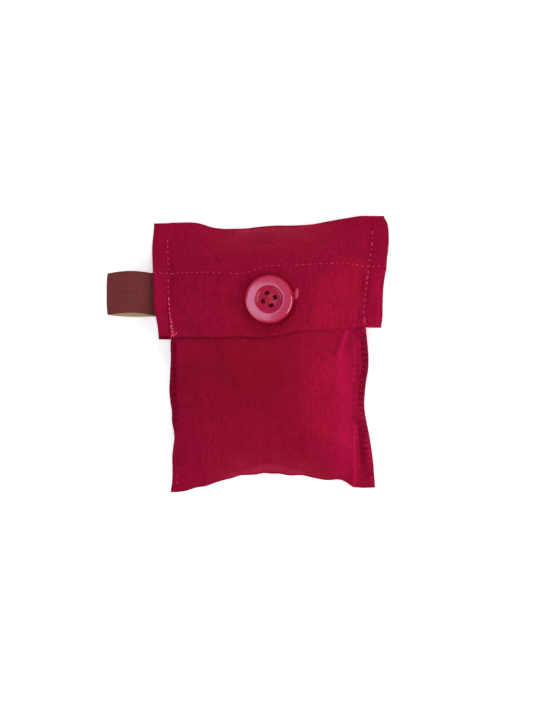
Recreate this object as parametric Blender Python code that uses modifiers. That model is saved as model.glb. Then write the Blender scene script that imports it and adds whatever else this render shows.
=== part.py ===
# A silk tote bag, folded small and buttoned into its own silk pouch.
# The pouch lies on its back: +X is its right side, +Y its top fold and +Z the way the button faces.
# The origin is the middle of the flat underside. Lengths are in metres unless a name ends in _MM.

import math

import bmesh
import bpy
from mathutils import Vector

MM = 0.001

# Silk
CLOTH = 0.00035  # one ply
PLY_GAP = 0.0003  # air between plies that lie together
FADE = 0.006  # length over which one ply's step dies out in the plies on it

# Pouch outline, seen from above
HALF_WIDTH = 0.0472  # middle to a side seam
POUCH_LENGTH = 0.123  # bottom fold to top fold
FLAP_DROP = 0.052  # top fold down to the flap's lower edge
HEM_DEPTH = 0.030  # how far the flap's hem is turned up inside
MOUTH_DROP = 0.0155  # top fold down to the front panel's hidden upper edge
ALLOWANCE = 0.0074  # raw seam allowance outside the flap's side seams
BUTTON_DROP = 0.0360  # top fold down to the button's middle

# How far each edge strays from straight, at even stations from left to right or from bottom to top
BOTTOM_FOLD_MM = (-4.1, -2.8, 0.2, 2.7, 4.0, 4.8, 4.1, 3.0, 1.5, 0.3, -2.2)
TOP_FOLD_MM = (0.7, 1.0, -0.2, -2.0, -1.8, -0.6, -0.5, 0.3, 1.8, 3.5, 4.1)
FLAP_EDGE_MM = (-1.9, -1.2, -1.2, -1.1, -0.7, -0.8, 0.4, 1.5, 2.2, 3.0, 3.7)
LEFT_SEAM_MM = (0.2, 0.7, 1.7, 1.6, 0.2, -0.3, 0.3, 0.4, 0.2, -0.4, -0.7, -1.1, -1.4)
RIGHT_SEAM_MM = (3.6, 2.5, 1.6, -0.9, -1.8, -0.9, 0.0, -1.2, -2.0, -0.8, 0.7, 1.9, 2.4)
ALLOWANCE_MM = (-1.0, 0.1, 0.3, 0.2, -1.2)

# Pouch heights
SEAM_HEIGHT = 0.0085  # side seams above the table
CORNER_DROOP = 0.0045  # how far the corners sink below the side seams
LEVEL_SHARE = 0.45  # middle share of a side seam that doesn't sink
FRONT_RISE = 0.0165  # front panel above the seams, at its fullest
SEAM_FLAT = 0.0026  # flat strip along each side seam
SEAM_FLAT_RIGHT = 0.0058  # the same along the right seam below the flap
STRIP_SHARE = 0.57  # share of the pouch's length up to which the right strip is wide
STRIP_FADE = 0.12  # and over which it then narrows
STRIP_SIDE = 0.4  # share of the half width over which it widens towards the right
SOFT_FOOT = 0.10  # how gently a side's slope starts, as a share of its width
SIDE_SLOPE = 0.034  # width of the slope up from a side
END_SLOPE = 0.029  # length of the slope up from a fold
SWELL_POWER = 2.2  # 1 for a straight slope, more for a rounder one
BACK_FLATTEN = 1.7  # how early the back reaches the table
WING_DROOP = 0.0012  # how far the allowance hangs at its raw edge

# Folded tote inside
TOTE_SIDE_INSET = 0.0095  # side seam to the bundle
TOTE_END_INSET = 0.0105  # fold to the bundle
TOTE_LAYERS = 5  # folds that show at its edge
TOTE_VALLEY = 0.0012  # depth between two folds
TOTE_GAP = 0.0006  # air between the bundle and the pouch
KNOT_ROOM_RADIUS = 0.010  # the bundle gives way under the button's knot
KNOT_ROOM_FADE = 0.008

# Button
BUTTON_RADIUS = 0.0114
BUTTON_THICK = 0.0036
BUTTON_EDGE = 0.0010  # rounding of the rim
BUTTON_WELL_RADIUS = 0.0064
BUTTON_WELL_DEPTH = 0.0014
BUTTON_WELL_SLOPE = 0.0009  # width of the step down into the well
BUTTON_DOME = 0.0003  # the well's floor stands this much higher in the middle
HOLE_RADIUS = 0.0011
HOLE_CIRCLE = 0.0028  # button's middle to a hole's middle
HOLE_TURN_DEG = 18.0
BUTTON_STEPS = 36

# Button thread and buttonhole
STRAND_RADIUS = 0.00050
SHANK_RADIUS = 0.0006
SHANK_LENGTH = 0.0014  # flap's face to the button's back
STITCH_SEAT = 0.0003  # air between thread and what it is sewn through
KNOT_RADIUS = 0.0019
KNOT_THICK = 0.0007
SLIT_EASE = 0.0018  # the buttonhole's length past the button's edge, at either end
SLIT_TURN_DEG = 8.0
PRESS_MARGIN = 0.0038  # cloth lies flat this far past the button
PRESS_FADE = 0.011  # and then rises over this length
PRESS_DEPTH = 0.0006

# Label loop sewn into the left seam
LABEL_WIDTH = 0.0200
LABEL_THICK = 0.0004
LABEL_REACH = 0.0298  # seam to the loop's fold
LABEL_DROP = 0.0329  # top fold down to the label's middle
LABEL_BOW = 0.0011  # each ply's bow away from the loop's middle
LABEL_LEAN = 0.0011  # shift up the pouch on the front ply and down it on the back one, where they bow
LABEL_FOLD_RADIUS = 0.0006
LABEL_SAG = 0.0016  # droop of the loop's end
LABEL_SEAM_GAP = 0.0012  # side seam to the label's cut ends

# Mesh spacing
FOLD_STEPS = 3
COLUMNS = 19
ROWS_BODY = 12
ROWS_UNDER_FLAP = 9
ROWS_BACK_OF_FLAP = 9
ROWS_FLAP = 11
ROWS_HEM = 7
WING_COLUMNS = 2
SLIT_STEPS = 12
TOTE_COLUMNS = 12
TOTE_ROWS = 16
TOTE_LAYER_STEPS = 3
LABEL_STEPS = 11
LABEL_TURN_STEPS = 5
LABEL_COLUMNS = 4
DIFFERENCE = 0.002  # step for a surface's normal, as a share of its width

PITCH = CLOTH + PLY_GAP
SKIN = CLOTH / 2 + PLY_GAP  # middle of a ply to what rests on it
SLIT_REACH = BUTTON_RADIUS + SLIT_EASE
BUTTON_Y = POUCH_LENGTH / 2 - BUTTON_DROP
LABEL_Y = POUCH_LENGTH / 2 - LABEL_DROP


def clamp(value, low=0.0, high=1.0):
    return max(low, min(high, value))


def smooth(value):
    value = clamp(value)
    return value * value * (3 - 2 * value)


def mix(a, b, share):
    return a + (b - a) * share


def drift(stations_mm, share):
    """The smooth curve through the evenly spaced stations, in metres."""
    last = len(stations_mm) - 1
    place = clamp(share) * last
    i = min(int(place), last - 1)
    f = place - i
    before = stations_mm[max(i - 1, 0)]
    a = stations_mm[i]
    b = stations_mm[i + 1]
    after = stations_mm[min(i + 2, last)]
    slope_a = (b - before) / 2
    slope_b = (after - a) / 2
    hermite = (
        a * (1 + 2 * f) * (1 - f) ** 2
        + slope_a * f * (1 - f) ** 2
        + b * f * f * (3 - 2 * f)
        - slope_b * f * f * (1 - f)
    )
    return hermite * MM


# Plan of the pouch
# s runs from -1 at the left seam to 1 at the right one, t from 0 at the bottom fold to 1 at the top one.


def top_y(s):
    return POUCH_LENGTH / 2 + drift(TOP_FOLD_MM, (s + 1) / 2)


def bottom_y(s):
    return -POUCH_LENGTH / 2 + drift(BOTTOM_FOLD_MM, (s + 1) / 2)


def flap_edge_y(s):
    return POUCH_LENGTH / 2 - FLAP_DROP + drift(FLAP_EDGE_MM, (s + 1) / 2)


def t_at(s, y):
    return (y - bottom_y(s)) / (top_y(s) - bottom_y(s))


def t_flap_edge(s):
    return t_at(s, flap_edge_y(s))


def t_hem_top(s):
    return t_at(s, flap_edge_y(s) + HEM_DEPTH)


def t_mouth(s):
    return t_at(s, top_y(s) - MOUTH_DROP)


def plan(s, t):
    left = -HALF_WIDTH + drift(LEFT_SEAM_MM, t)
    right = HALF_WIDTH + drift(RIGHT_SEAM_MM, t)
    return mix(left, right, (s + 1) / 2), mix(bottom_y(s), top_y(s), t)


# Heights of the pouch


def seam_height(t):
    from_middle = clamp((abs(2 * t - 1) - LEVEL_SHARE) / (1 - LEVEL_SHARE))
    return SEAM_HEIGHT - CORNER_DROOP * from_middle**2


def swell(share):
    return 1 - (1 - clamp(share)) ** SWELL_POWER


def seam_flat(s, t):
    wide = smooth(s / STRIP_SIDE) * (1 - smooth((t - STRIP_SHARE) / STRIP_FADE))
    return mix(SEAM_FLAT, SEAM_FLAT_RIGHT, wide)


def fullness(s, t):
    side = max(HALF_WIDTH * (1 - abs(s)) - seam_flat(s, t), 0.0) / SIDE_SLOPE
    end = POUCH_LENGTH * min(t, 1 - t) / END_SLOPE
    return swell(side * side / (side + SOFT_FOOT)) * swell(end)


def free_height(s, t):
    return seam_height(t) + PITCH / 2 + FRONT_RISE * fullness(s, t)


PRESS_HEIGHT = free_height(0, t_at(0, BUTTON_Y)) - PRESS_DEPTH
PRESS_RADIUS = max(BUTTON_RADIUS, SLIT_REACH) + PRESS_MARGIN


def front_point(s, t):
    """The front panel's middle surface, pressed flat under the button."""
    x, y = plan(s, t)
    from_button = math.hypot(x, y - BUTTON_Y)
    free = smooth((from_button - PRESS_RADIUS) / PRESS_FADE)
    return Vector((x, y, mix(PRESS_HEIGHT, free_height(s, t), free)))


def back_point(s, t):
    """The back panel's middle surface, flat on the table where the pouch is full."""
    x, y = plan(s, t)
    seam = seam_height(t) - PITCH / 2
    down = min(1.0, BACK_FLATTEN * fullness(s, t))
    return Vector((x, y, mix(seam, CLOTH / 2, down)))


def lifted(surface, s, t, lift):
    """A point at a distance from a surface, along its normal."""
    low_s, high_s = max(s - DIFFERENCE, -1), min(s + DIFFERENCE, 1)
    low_t, high_t = max(t - DIFFERENCE, 0), min(t + DIFFERENCE, 1)
    along_x = surface(high_s, t) - surface(low_s, t)
    along_y = surface(s, high_t) - surface(s, low_t)
    return surface(s, t) + along_x.cross(along_y).normalized() * lift


# Seam allowances of the flap, called its wings


def wing_width(side, t):
    up_the_flap = (t - t_flap_edge(side)) / (1 - t_flap_edge(side))
    return ALLOWANCE + drift(ALLOWANCE_MM, up_the_flap)


def label_room(y, outward):
    """How much further the left wing's plies stand apart where the label lies between them."""
    near = 1 - smooth((abs(y - LABEL_Y) - LABEL_WIDTH / 2 - LABEL_LEAN) / FADE)
    needed = CLOTH + 2 * LABEL_THICK + 3 * PLY_GAP
    stand_apart = PITCH * (2 - outward)
    return near * max(needed - stand_apart, 0.0)


def wing_point(surface, side, outward, t, lift):
    """A point on a wing: outward is 0 at the seam and 1 at the raw edge."""
    seam = surface(side, t)
    x = seam.x + side * wing_width(side, t) * outward
    z = seam.z + lift - WING_DROOP * outward**2
    return Vector((x, seam.y, z))


def label_bow(from_seam):
    """Half the extra distance between the label's plies, which lie together until past the raw edge."""
    fold_start = LABEL_REACH - LABEL_FOLD_RADIUS
    bow_start = ALLOWANCE + 2 * PITCH
    share = clamp((from_seam - bow_start) / (fold_start - bow_start))
    return LABEL_BOW * math.sin(math.pi * share)


# The pouch's cloth, one strip: front panel, bottom fold, back, top fold, flap and hem


def column_shares():
    strip = SEAM_FLAT / HALF_WIDTH
    inner = [mix(-1 + strip, 1 - strip, i / COLUMNS) for i in range(COLUMNS + 1)]
    return [-1.0, *inner, 1.0]


def wing_shares():
    return [(i + 1) / WING_COLUMNS for i in range(WING_COLUMNS)]


def left_room(s, y, outward=0.0):
    """The label's room, which fades out inside the left seam."""
    return label_room(y, outward) * (1 - smooth((s + 1) * HALF_WIDTH / FADE))


def flap_lift(s, t, outward=0.0):
    """The flap's distance from the front surface: it falls past the hem and again past the mouth."""
    over_hem = 1 - smooth((t - t_hem_top(s)) * POUCH_LENGTH / FADE)
    over_panel = 1 - smooth((t - t_mouth(s)) * POUCH_LENGTH / FADE)
    y = plan(s, t)[1]
    return PITCH * (over_hem + over_panel * (1 - outward)) + left_room(s, y, outward)


def hem_lift(s, t, outward=0.0):
    return PITCH * (1 - outward) + left_room(s, plan(s, t)[1], outward)


def panel_lift(_s, _t, _outward=0.0):
    return 0.0


def ply_row(bm, surface, t_of, lift_of, wings):
    """One row of vertices across a ply, with the wings' columns at both ends where it has them."""
    row = [bm.verts.new(lifted(surface, s, t_of(s), lift_of(s, t_of(s)))) for s in column_shares()]
    if not wings:
        return row
    ends = []
    for side in (-1, 1):
        t = t_of(side)
        ends.append(
            [
                bm.verts.new(wing_point(surface, side, out, t, lift_of(side, t, out)))
                for out in wing_shares()
            ]
        )
    return ends[0][::-1] + row + ends[1]


def fold_rows(bm, first, last, outward):
    """Rows round a fold, a half circle from one ply's last row to the next ply's first."""
    rows = []
    for step in range(1, FOLD_STEPS + 1):
        angle = math.pi * step / (FOLD_STEPS + 1)
        row = []
        for a, b in zip(first, last):
            middle = (a.co + b.co) / 2
            half = (a.co - b.co) / 2
            reach = Vector((0, outward, 0)) * half.length * math.sin(angle)
            row.append(bm.verts.new(middle + half * math.cos(angle) + reach))
        rows.append(row)
    return rows


def between(t_low, t_high, share):
    return lambda s: mix(t_low(s), t_high(s), share)


def ply_rows(bm, surface, t_from, t_to, count, lift_of, wings, bunch=1.0):
    """Rows from one line of a ply up to another, the last left out. A bunch over 1 packs the first ones."""
    shares = [(i / count) ** bunch for i in range(count)]
    return [ply_row(bm, surface, between(t_from, t_to, share), lift_of, wings) for share in shares]


def join_rows(bm, upper, lower):
    """Faces between two rows. A row without wings meets the inner columns of one that has them."""
    spare = abs(len(upper) - len(lower)) // 2
    if len(upper) > len(lower):
        upper = upper[spare:-spare]
    elif len(lower) > len(upper):
        lower = lower[spare:-spare]
    for i in range(len(upper) - 1):
        bm.faces.new((upper[i], upper[i + 1], lower[i + 1], lower[i]))


def close_sides(bm, panel, fold, back):
    """The body's side seams: panel and back run down to the fold, row for row."""
    for end in (0, -1):
        for i in range(len(panel) - 1):
            bm.faces.new((panel[i][end], panel[i + 1][end], back[i + 1][end], back[i][end]))
        bm.faces.new([panel[-1][end], *[row[end] for row in fold], back[-1][end]])


def bottom(_s):
    return 0.0


def top(_s):
    return 1.0


def cloth_sheet(bm):
    """The strip's middle surface, in the order that the cloth runs."""
    wings = True
    mouth = ply_rows(bm, front_point, t_mouth, t_flap_edge, ROWS_UNDER_FLAP, panel_lift, not wings)
    panel_up = ply_rows(bm, front_point, bottom, t_flap_edge, ROWS_BODY, panel_lift, not wings, 1.25)
    panel_edge = ply_row(bm, front_point, t_flap_edge, panel_lift, not wings)
    panel = [panel_edge, *panel_up[::-1]]
    back_up = ply_rows(bm, back_point, bottom, t_flap_edge, ROWS_BODY, panel_lift, not wings, 1.25)
    back_flap = ply_rows(bm, back_point, t_flap_edge, top, ROWS_BACK_OF_FLAP, panel_lift, wings)
    back_top = ply_row(bm, back_point, top, panel_lift, wings)
    flap_down = ply_rows(bm, front_point, top, t_flap_edge, ROWS_FLAP, flap_lift, wings, 1.15)
    flap_edge = ply_row(bm, front_point, t_flap_edge, flap_lift, wings)
    hem_up = ply_rows(bm, front_point, t_flap_edge, t_hem_top, ROWS_HEM, hem_lift, wings)
    hem_top = ply_row(bm, front_point, t_hem_top, hem_lift, wings)
    bottom_fold = fold_rows(bm, panel[-1], back_up[0], -1)
    top_fold = fold_rows(bm, back_top, flap_down[0], 1)
    hem_fold = fold_rows(bm, flap_edge, hem_up[0], -1)
    strip = [*mouth, *panel, *bottom_fold, *back_up, *back_flap, back_top]
    strip += [*top_fold, *flap_down, flap_edge, *hem_fold, *hem_up, hem_top]
    for upper, lower in zip(strip, strip[1:]):
        join_rows(bm, upper, lower)
    seam_column = WING_COLUMNS
    back_edge = back_flap[0][seam_column:-seam_column]
    close_sides(bm, panel, bottom_fold, [back_edge, *back_up[::-1]])


# Blender objects


def clear_scene():
    for obj in list(bpy.data.objects):
        bpy.data.objects.remove(obj)


def collection_named(name):
    made = bpy.data.collections.new(name)
    bpy.context.scene.collection.children.link(made)
    return made


def material(name, colour, roughness, metallic=0.0):
    made = bpy.data.materials.new(name)
    made.use_nodes = True
    shader = made.node_tree.nodes["Principled BSDF"]
    shader.inputs["Base Color"].default_value = (*colour, 1.0)
    shader.inputs["Roughness"].default_value = roughness
    shader.inputs["Metallic"].default_value = metallic
    return made


def object_from(name, bm, collection, surface_material=None, smooth_angle_deg=50):
    mesh = bpy.data.meshes.new(name)
    bm.to_mesh(mesh)
    bm.free()
    mesh.shade_smooth()
    mesh.set_sharp_from_angle(angle=math.radians(smooth_angle_deg))
    made = bpy.data.objects.new(name, mesh)
    collection.objects.link(made)
    if surface_material:
        mesh.materials.append(surface_material)
    return made


def hide_helper(obj):
    obj.hide_render = True
    obj.display_type = "WIRE"


def add_boolean(obj, other, operation):
    modifier = obj.modifiers.new(f"{operation.lower()} {other.name}", "BOOLEAN")
    modifier.operation = operation
    modifier.object = other


def add_thickness(obj, thickness):
    modifier = obj.modifiers.new("cloth thickness", "SOLIDIFY")
    modifier.thickness = thickness
    modifier.offset = 0.0


def cylinder(name, collection, radius, low, high, place, sides=20):
    """An upright cylinder between two heights."""
    bm = bmesh.new()
    bmesh.ops.create_cone(
        bm, cap_ends=True, segments=sides, radius1=radius, radius2=radius, depth=high - low
    )
    bmesh.ops.translate(bm, verts=bm.verts, vec=(*place, (low + high) / 2))
    made = object_from(name, bm, collection)
    hide_helper(made)
    return made


def slit_half_width(along):
    """The buttonhole is open round the shank and closes towards its ends."""
    return (SHANK_RADIUS + STITCH_SEAT) * (1 - (along / SLIT_REACH) ** 2)


def buttonhole_cutter(collection, low, high):
    """A lens-shaped prism through the flap and its hem."""
    turn = math.radians(SLIT_TURN_DEG)
    outline = []
    for side in (-1, 1):
        for i in range(SLIT_STEPS):
            along = SLIT_REACH * mix(-1, 1, i / SLIT_STEPS) * -side
            across = slit_half_width(along) * side
            x = along * math.cos(turn) - across * math.sin(turn)
            y = along * math.sin(turn) + across * math.cos(turn)
            outline.append((x, BUTTON_Y + y, low))
    bm = bmesh.new()
    face = bm.faces.new([bm.verts.new(point) for point in outline])
    walls = bmesh.ops.extrude_face_region(bm, geom=[face])
    raised = [v for v in walls["geom"] if isinstance(v, bmesh.types.BMVert)]
    bmesh.ops.translate(bm, verts=raised, vec=(0, 0, high - low))
    bmesh.ops.recalc_face_normals(bm, faces=bm.faces)
    made = object_from("buttonhole_cutter", bm, collection)
    hide_helper(made)
    return made


FLAP_FACE = PRESS_HEIGHT + 2 * PITCH + CLOTH / 2  # the flap's upper face under the button
BUTTON_BACK = FLAP_FACE + SHANK_LENGTH


def make_pouch(collection, cutters, silk):
    bm = bmesh.new()
    cloth_sheet(bm)
    bmesh.ops.recalc_face_normals(bm, faces=bm.faces)
    pouch = object_from("pouch_cloth", bm, collection, silk)
    add_thickness(pouch, CLOTH)
    below_hem = PRESS_HEIGHT + PITCH / 2
    slit = buttonhole_cutter(cutters, below_hem, BUTTON_BACK)
    add_boolean(pouch, slit, "DIFFERENCE")
    hole_radius = SHANK_RADIUS + STITCH_SEAT
    through_panel = (PRESS_HEIGHT - PITCH, below_hem)
    hole = cylinder("panel_hole_cutter", cutters, hole_radius, *through_panel, (0, BUTTON_Y))
    add_boolean(pouch, hole, "DIFFERENCE")


# The folded tote


def tote_place(across, up, inset):
    """s and t of a point of the bundle; across and up run from -1 to 1, and inset draws its edge in."""
    s_reach = 1 - (TOTE_SIDE_INSET + inset) / HALF_WIDTH
    t_reach = 1 - 2 * (TOTE_END_INSET + inset) / POUCH_LENGTH
    return across * s_reach, (1 + up * t_reach) / 2


def knot_room(point):
    """How far the bundle gives way under the button's knot."""
    from_button = math.hypot(point.x, point.y - BUTTON_Y)
    return (KNOT_THICK + PLY_GAP) * (1 - smooth((from_button - KNOT_ROOM_RADIUS) / KNOT_ROOM_FADE))


def tote_point(across, up, level, inset):
    """A point of the bundle: level is 0 on its back and 1 on its front."""
    s, t = tote_place(across, up, inset)
    low = lifted(back_point, s, t, CLOTH / 2 + TOTE_GAP)
    high = lifted(front_point, s, t, -CLOTH / 2 - TOTE_GAP)
    high.z -= knot_room(high)
    return low.lerp(high, level)


def valley(level):
    """How far the edge is drawn in at a level: none at the middle of a fold, all between two."""
    through_fold = 2 * ((level * TOTE_LAYERS) % 1.0) - 1
    return TOTE_VALLEY * (1 - math.sqrt(1 - through_fold**2))


def make_tote(collection, silk):
    across = [mix(-1, 1, i / TOTE_COLUMNS) for i in range(TOTE_COLUMNS + 1)]
    up = [mix(-1, 1, i / TOTE_ROWS) for i in range(TOTE_ROWS + 1)]
    rim = [(a, -1.0) for a in across[:-1]] + [(1.0, u) for u in up[:-1]]
    rim += [(-a, 1.0) for a in across[:-1]] + [(-1.0, -u) for u in up[:-1]]
    bm = bmesh.new()
    caps = []
    for level in (0.0, 1.0):
        grid = [(a, u) for a in across for u in up]
        caps.append({place: bm.verts.new(tote_point(*place, level, TOTE_VALLEY)) for place in grid})
    loops = [[caps[0][nearest(caps[0], place)] for place in rim]]
    steps = TOTE_LAYERS * TOTE_LAYER_STEPS
    for i in range(1, steps):
        level = i / steps
        loops.append([bm.verts.new(tote_point(a, u, level, valley(level))) for a, u in rim])
    loops.append([caps[1][nearest(caps[1], place)] for place in rim])
    for low, high in zip(loops, loops[1:]):
        for i in range(len(rim)):
            j = (i + 1) % len(rim)
            bm.faces.new((low[i], low[j], high[j], high[i]))
    for cap in caps:
        for a, next_a in zip(across, across[1:]):
            for u, next_u in zip(up, up[1:]):
                bm.faces.new((cap[a, u], cap[next_a, u], cap[next_a, next_u], cap[a, next_u]))
    bmesh.ops.recalc_face_normals(bm, faces=bm.faces)
    object_from("folded_tote", bm, collection, silk)


def nearest(cap, place):
    """The cap's own key for a place on the rim."""
    return min(cap, key=lambda key: abs(key[0] - place[0]) + abs(key[1] - place[1]))


# Button and its thread


def button_profile():
    """Half the button's section, from the middle of the well out over the rim and back under."""
    floor = BUTTON_THICK - BUTTON_WELL_DEPTH
    well_top = BUTTON_WELL_RADIUS
    well_foot = BUTTON_WELL_RADIUS - BUTTON_WELL_SLOPE
    rim_middle = (BUTTON_WELL_RADIUS + BUTTON_RADIUS) / 2
    points = [(0.0, floor + BUTTON_DOME)]
    points.append((well_foot * 0.55, floor + BUTTON_DOME * 0.7))
    points.append((well_foot, floor))
    points.append((mix(well_foot, well_top, 0.6), mix(floor, BUTTON_THICK, 0.55)))
    points.append((well_top, BUTTON_THICK - BUTTON_EDGE * 0.12))
    points.append((mix(well_top, rim_middle, 0.35), BUTTON_THICK))
    points.append((rim_middle, BUTTON_THICK))
    corner = BUTTON_RADIUS - BUTTON_EDGE
    for step in range(5):
        angle = math.radians(90 * step / 4)
        z = BUTTON_THICK - BUTTON_EDGE + BUTTON_EDGE * math.cos(angle)
        points.append((corner + BUTTON_EDGE * math.sin(angle), z))
    points.append((BUTTON_RADIUS - BUTTON_EDGE * 0.3, BUTTON_THICK * 0.3))
    points.append((BUTTON_RADIUS - BUTTON_EDGE * 1.5, 0.0))
    points.append((0.0, 0.0))
    return points


def hole_places():
    """The four holes, in order round the button."""
    places = []
    for quarter in range(4):
        angle = math.radians(HOLE_TURN_DEG + 90 * quarter)
        places.append((HOLE_CIRCLE * math.cos(angle), BUTTON_Y + HOLE_CIRCLE * math.sin(angle)))
    return places


def make_button(collection, cutters, plastic):
    bm = bmesh.new()
    profile = [bm.verts.new((r, 0, z)) for r, z in button_profile()]
    for a, b in zip(profile, profile[1:]):
        bm.edges.new((a, b))
    button = object_from("button", bm, collection, plastic)
    button.location = (0, BUTTON_Y, BUTTON_BACK)
    turned = button.modifiers.new("turned profile", "SCREW")
    turned.steps = BUTTON_STEPS
    turned.render_steps = BUTTON_STEPS
    turned.use_merge_vertices = True
    turned.merge_threshold = 0.0001
    for i, place in enumerate(hole_places()):
        low, high = BUTTON_BACK - MM, BUTTON_BACK + BUTTON_THICK + MM
        hole = cylinder(f"button_hole_cutter_{i + 1}", cutters, HOLE_RADIUS, low, high, place, 16)
        add_boolean(button, hole, "DIFFERENCE")


def above_button(place, height):
    return Vector((*place, BUTTON_BACK + height))


def bar_route(a, b, height):
    """Up out of one hole, over the well and down into the opposite one."""
    middle = above_button((0, BUTTON_Y), height)
    route = []
    for place in (a, b):
        hole = above_button(place, height)
        low = above_button(place, BUTTON_THICK * 0.3)
        shoulder = hole - Vector((0, 0, STRAND_RADIUS * 1.6))
        bend = middle.lerp(hole, 0.82) - Vector((0, 0, STRAND_RADIUS * 0.2))
        route.append([low, shoulder, bend, middle.lerp(hole, 0.45)])
    return [*route[0], *route[1][::-1]]


def legs_route(a, b, height):
    """Down out of one hole, across the top of the shank and up into the opposite one."""
    middle = Vector((0, BUTTON_Y, FLAP_FACE))
    foot = Vector((0, 0, height))
    below = Vector((0, 0, SHANK_LENGTH - STRAND_RADIUS * 1.2))
    route = []
    for place in (a, b):
        hole = Vector((*place, FLAP_FACE))
        end = above_button(place, BUTTON_THICK * 0.45)
        mouth = above_button(place, BUTTON_THICK * 0.12)
        route.append([end, mouth, middle.lerp(hole, 0.70) + below, middle.lerp(hole, 0.20) + foot])
    return [*route[0], *route[1][::-1]]


def tube(name, collection, points, radius, sides=1):
    """A closed tube along a smooth line through the points, as a mesh."""
    line = bpy.data.curves.new(name, "CURVE")
    line.dimensions = "3D"
    line.bevel_depth = radius
    line.bevel_resolution = sides
    line.use_fill_caps = True
    spline = line.splines.new("POLY")
    spline.points.add(len(points) - 1)
    for point, place in zip(spline.points, points):
        point.co = (*place, 1)
    guide = bpy.data.objects.new(name + "_line", line)
    collection.objects.link(guide)
    bpy.context.view_layer.update()
    graph = bpy.context.evaluated_depsgraph_get()
    mesh = bpy.data.meshes.new_from_object(guide.evaluated_get(graph))
    bm = bmesh.new()
    bm.from_mesh(mesh)
    bpy.data.meshes.remove(mesh)
    bpy.data.objects.remove(guide)
    bmesh.ops.remove_doubles(bm, verts=bm.verts, dist=radius / 50)
    bmesh.ops.recalc_face_normals(bm, faces=bm.faces)
    return object_from(name, bm, collection, smooth_angle_deg=80)


def make_thread(collection, cutters, thread):
    holes = hole_places()
    lower_bar = BUTTON_THICK - BUTTON_WELL_DEPTH + BUTTON_DOME + STITCH_SEAT + STRAND_RADIUS
    upper_bar = lower_bar + STRAND_RADIUS * 0.8
    knot_top = PRESS_HEIGHT - CLOTH / 2 - PLY_GAP
    shank_top = FLAP_FACE + STITCH_SEAT + STRAND_RADIUS
    place = (0, BUTTON_Y)
    knot_span = (knot_top - KNOT_THICK, knot_top)
    sewn = cylinder("button_thread", collection, KNOT_RADIUS, *knot_span, place, 14)
    sewn.hide_render = False
    sewn.display_type = "TEXTURED"
    sewn.data.materials.append(thread)
    shank_span = (knot_top - KNOT_THICK / 2, shank_top)
    pieces = [cylinder("thread_shank", cutters, SHANK_RADIUS, *shank_span, place, 14)]
    for i, height in enumerate((lower_bar, upper_bar)):
        route = bar_route(holes[i], holes[i + 2], height)
        pieces.append(tube(f"thread_bar_{i + 1}", cutters, route, STRAND_RADIUS))
        foot = STITCH_SEAT + STRAND_RADIUS * (0.85 + 0.35 * i)
        legs = legs_route(holes[i], holes[i + 2], foot)
        pieces.append(tube(f"thread_legs_{i + 1}", cutters, legs, STRAND_RADIUS * 0.85))
    for piece in pieces:
        hide_helper(piece)
        add_boolean(sewn, piece, "UNION")


# Label loop


def label_base(x, y):
    """The wing's back ply under the label, carried on past its raw edge."""
    t = t_at(-1, y)
    seam = back_point(-1, t)
    outward = clamp((seam.x - x) / wing_width(-1, t))
    past_edge = clamp((seam.x - x - ALLOWANCE) / (LABEL_REACH - ALLOWANCE))
    return wing_point(back_point, -1, outward, t, 0.0).z - LABEL_SAG * past_edge**2


def label_point(from_seam, side, across):
    """A point of the label. side is -1 on its back ply and 1 on its front one, and passes 0 at the fold."""
    y = LABEL_Y + across * LABEL_WIDTH / 2
    x = plan(-1, t_at(-1, LABEL_Y))[0] - from_seam
    bow = label_bow(from_seam)
    apart = (LABEL_THICK + PLY_GAP) / 2 + bow
    middle = SKIN + LABEL_THICK + PLY_GAP / 2 + bow
    z = label_base(x, y) + middle + apart * side
    return Vector((x, y + LABEL_LEAN * side * bow / LABEL_BOW, z))


def make_label(collection, ribbon):
    fold_start = LABEL_REACH - LABEL_FOLD_RADIUS
    shares = [i / LABEL_STEPS for i in range(LABEL_STEPS + 1)]
    path = [(mix(LABEL_SEAM_GAP, fold_start, share), -1.0) for share in shares]
    for i in range(1, LABEL_TURN_STEPS + 1):
        angle = math.pi * i / (LABEL_TURN_STEPS + 1)
        path.append((fold_start + LABEL_FOLD_RADIUS * math.sin(angle), -math.cos(angle)))
    path += [(mix(fold_start, LABEL_SEAM_GAP, share), 1.0) for share in shares]
    bm = bmesh.new()
    rows = []
    for from_seam, side in path:
        across = [mix(-1, 1, i / LABEL_COLUMNS) for i in range(LABEL_COLUMNS + 1)]
        rows.append([bm.verts.new(label_point(from_seam, side, a)) for a in across])
    for upper, lower in zip(rows, rows[1:]):
        join_rows(bm, upper, lower)
    bmesh.ops.recalc_face_normals(bm, faces=bm.faces)
    label = object_from("label_loop", bm, collection, ribbon)
    add_thickness(label, LABEL_THICK)


def main():
    clear_scene()
    parts = collection_named("silk tote in its pouch")
    cutters = collection_named("cutters and joined shapes")
    silk = material("crimson silk", (0.29, 0.006, 0.028), 0.55)
    plastic = material("raspberry button plastic", (0.36, 0.008, 0.045), 0.25)
    thread = material("red sewing thread", (0.42, 0.012, 0.045), 0.6)
    ribbon = material("brown woven ribbon", (0.145, 0.028, 0.024), 0.7)
    make_pouch(parts, cutters, silk)
    make_tote(parts, silk)
    make_button(parts, cutters, plastic)
    make_thread(parts, cutters, thread)
    make_label(parts, ribbon)


main()
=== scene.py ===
import math

import bmesh
import bpy
import numpy as np
from mathutils import Matrix, Vector
from mathutils.bvhtree import BVHTree


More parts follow.
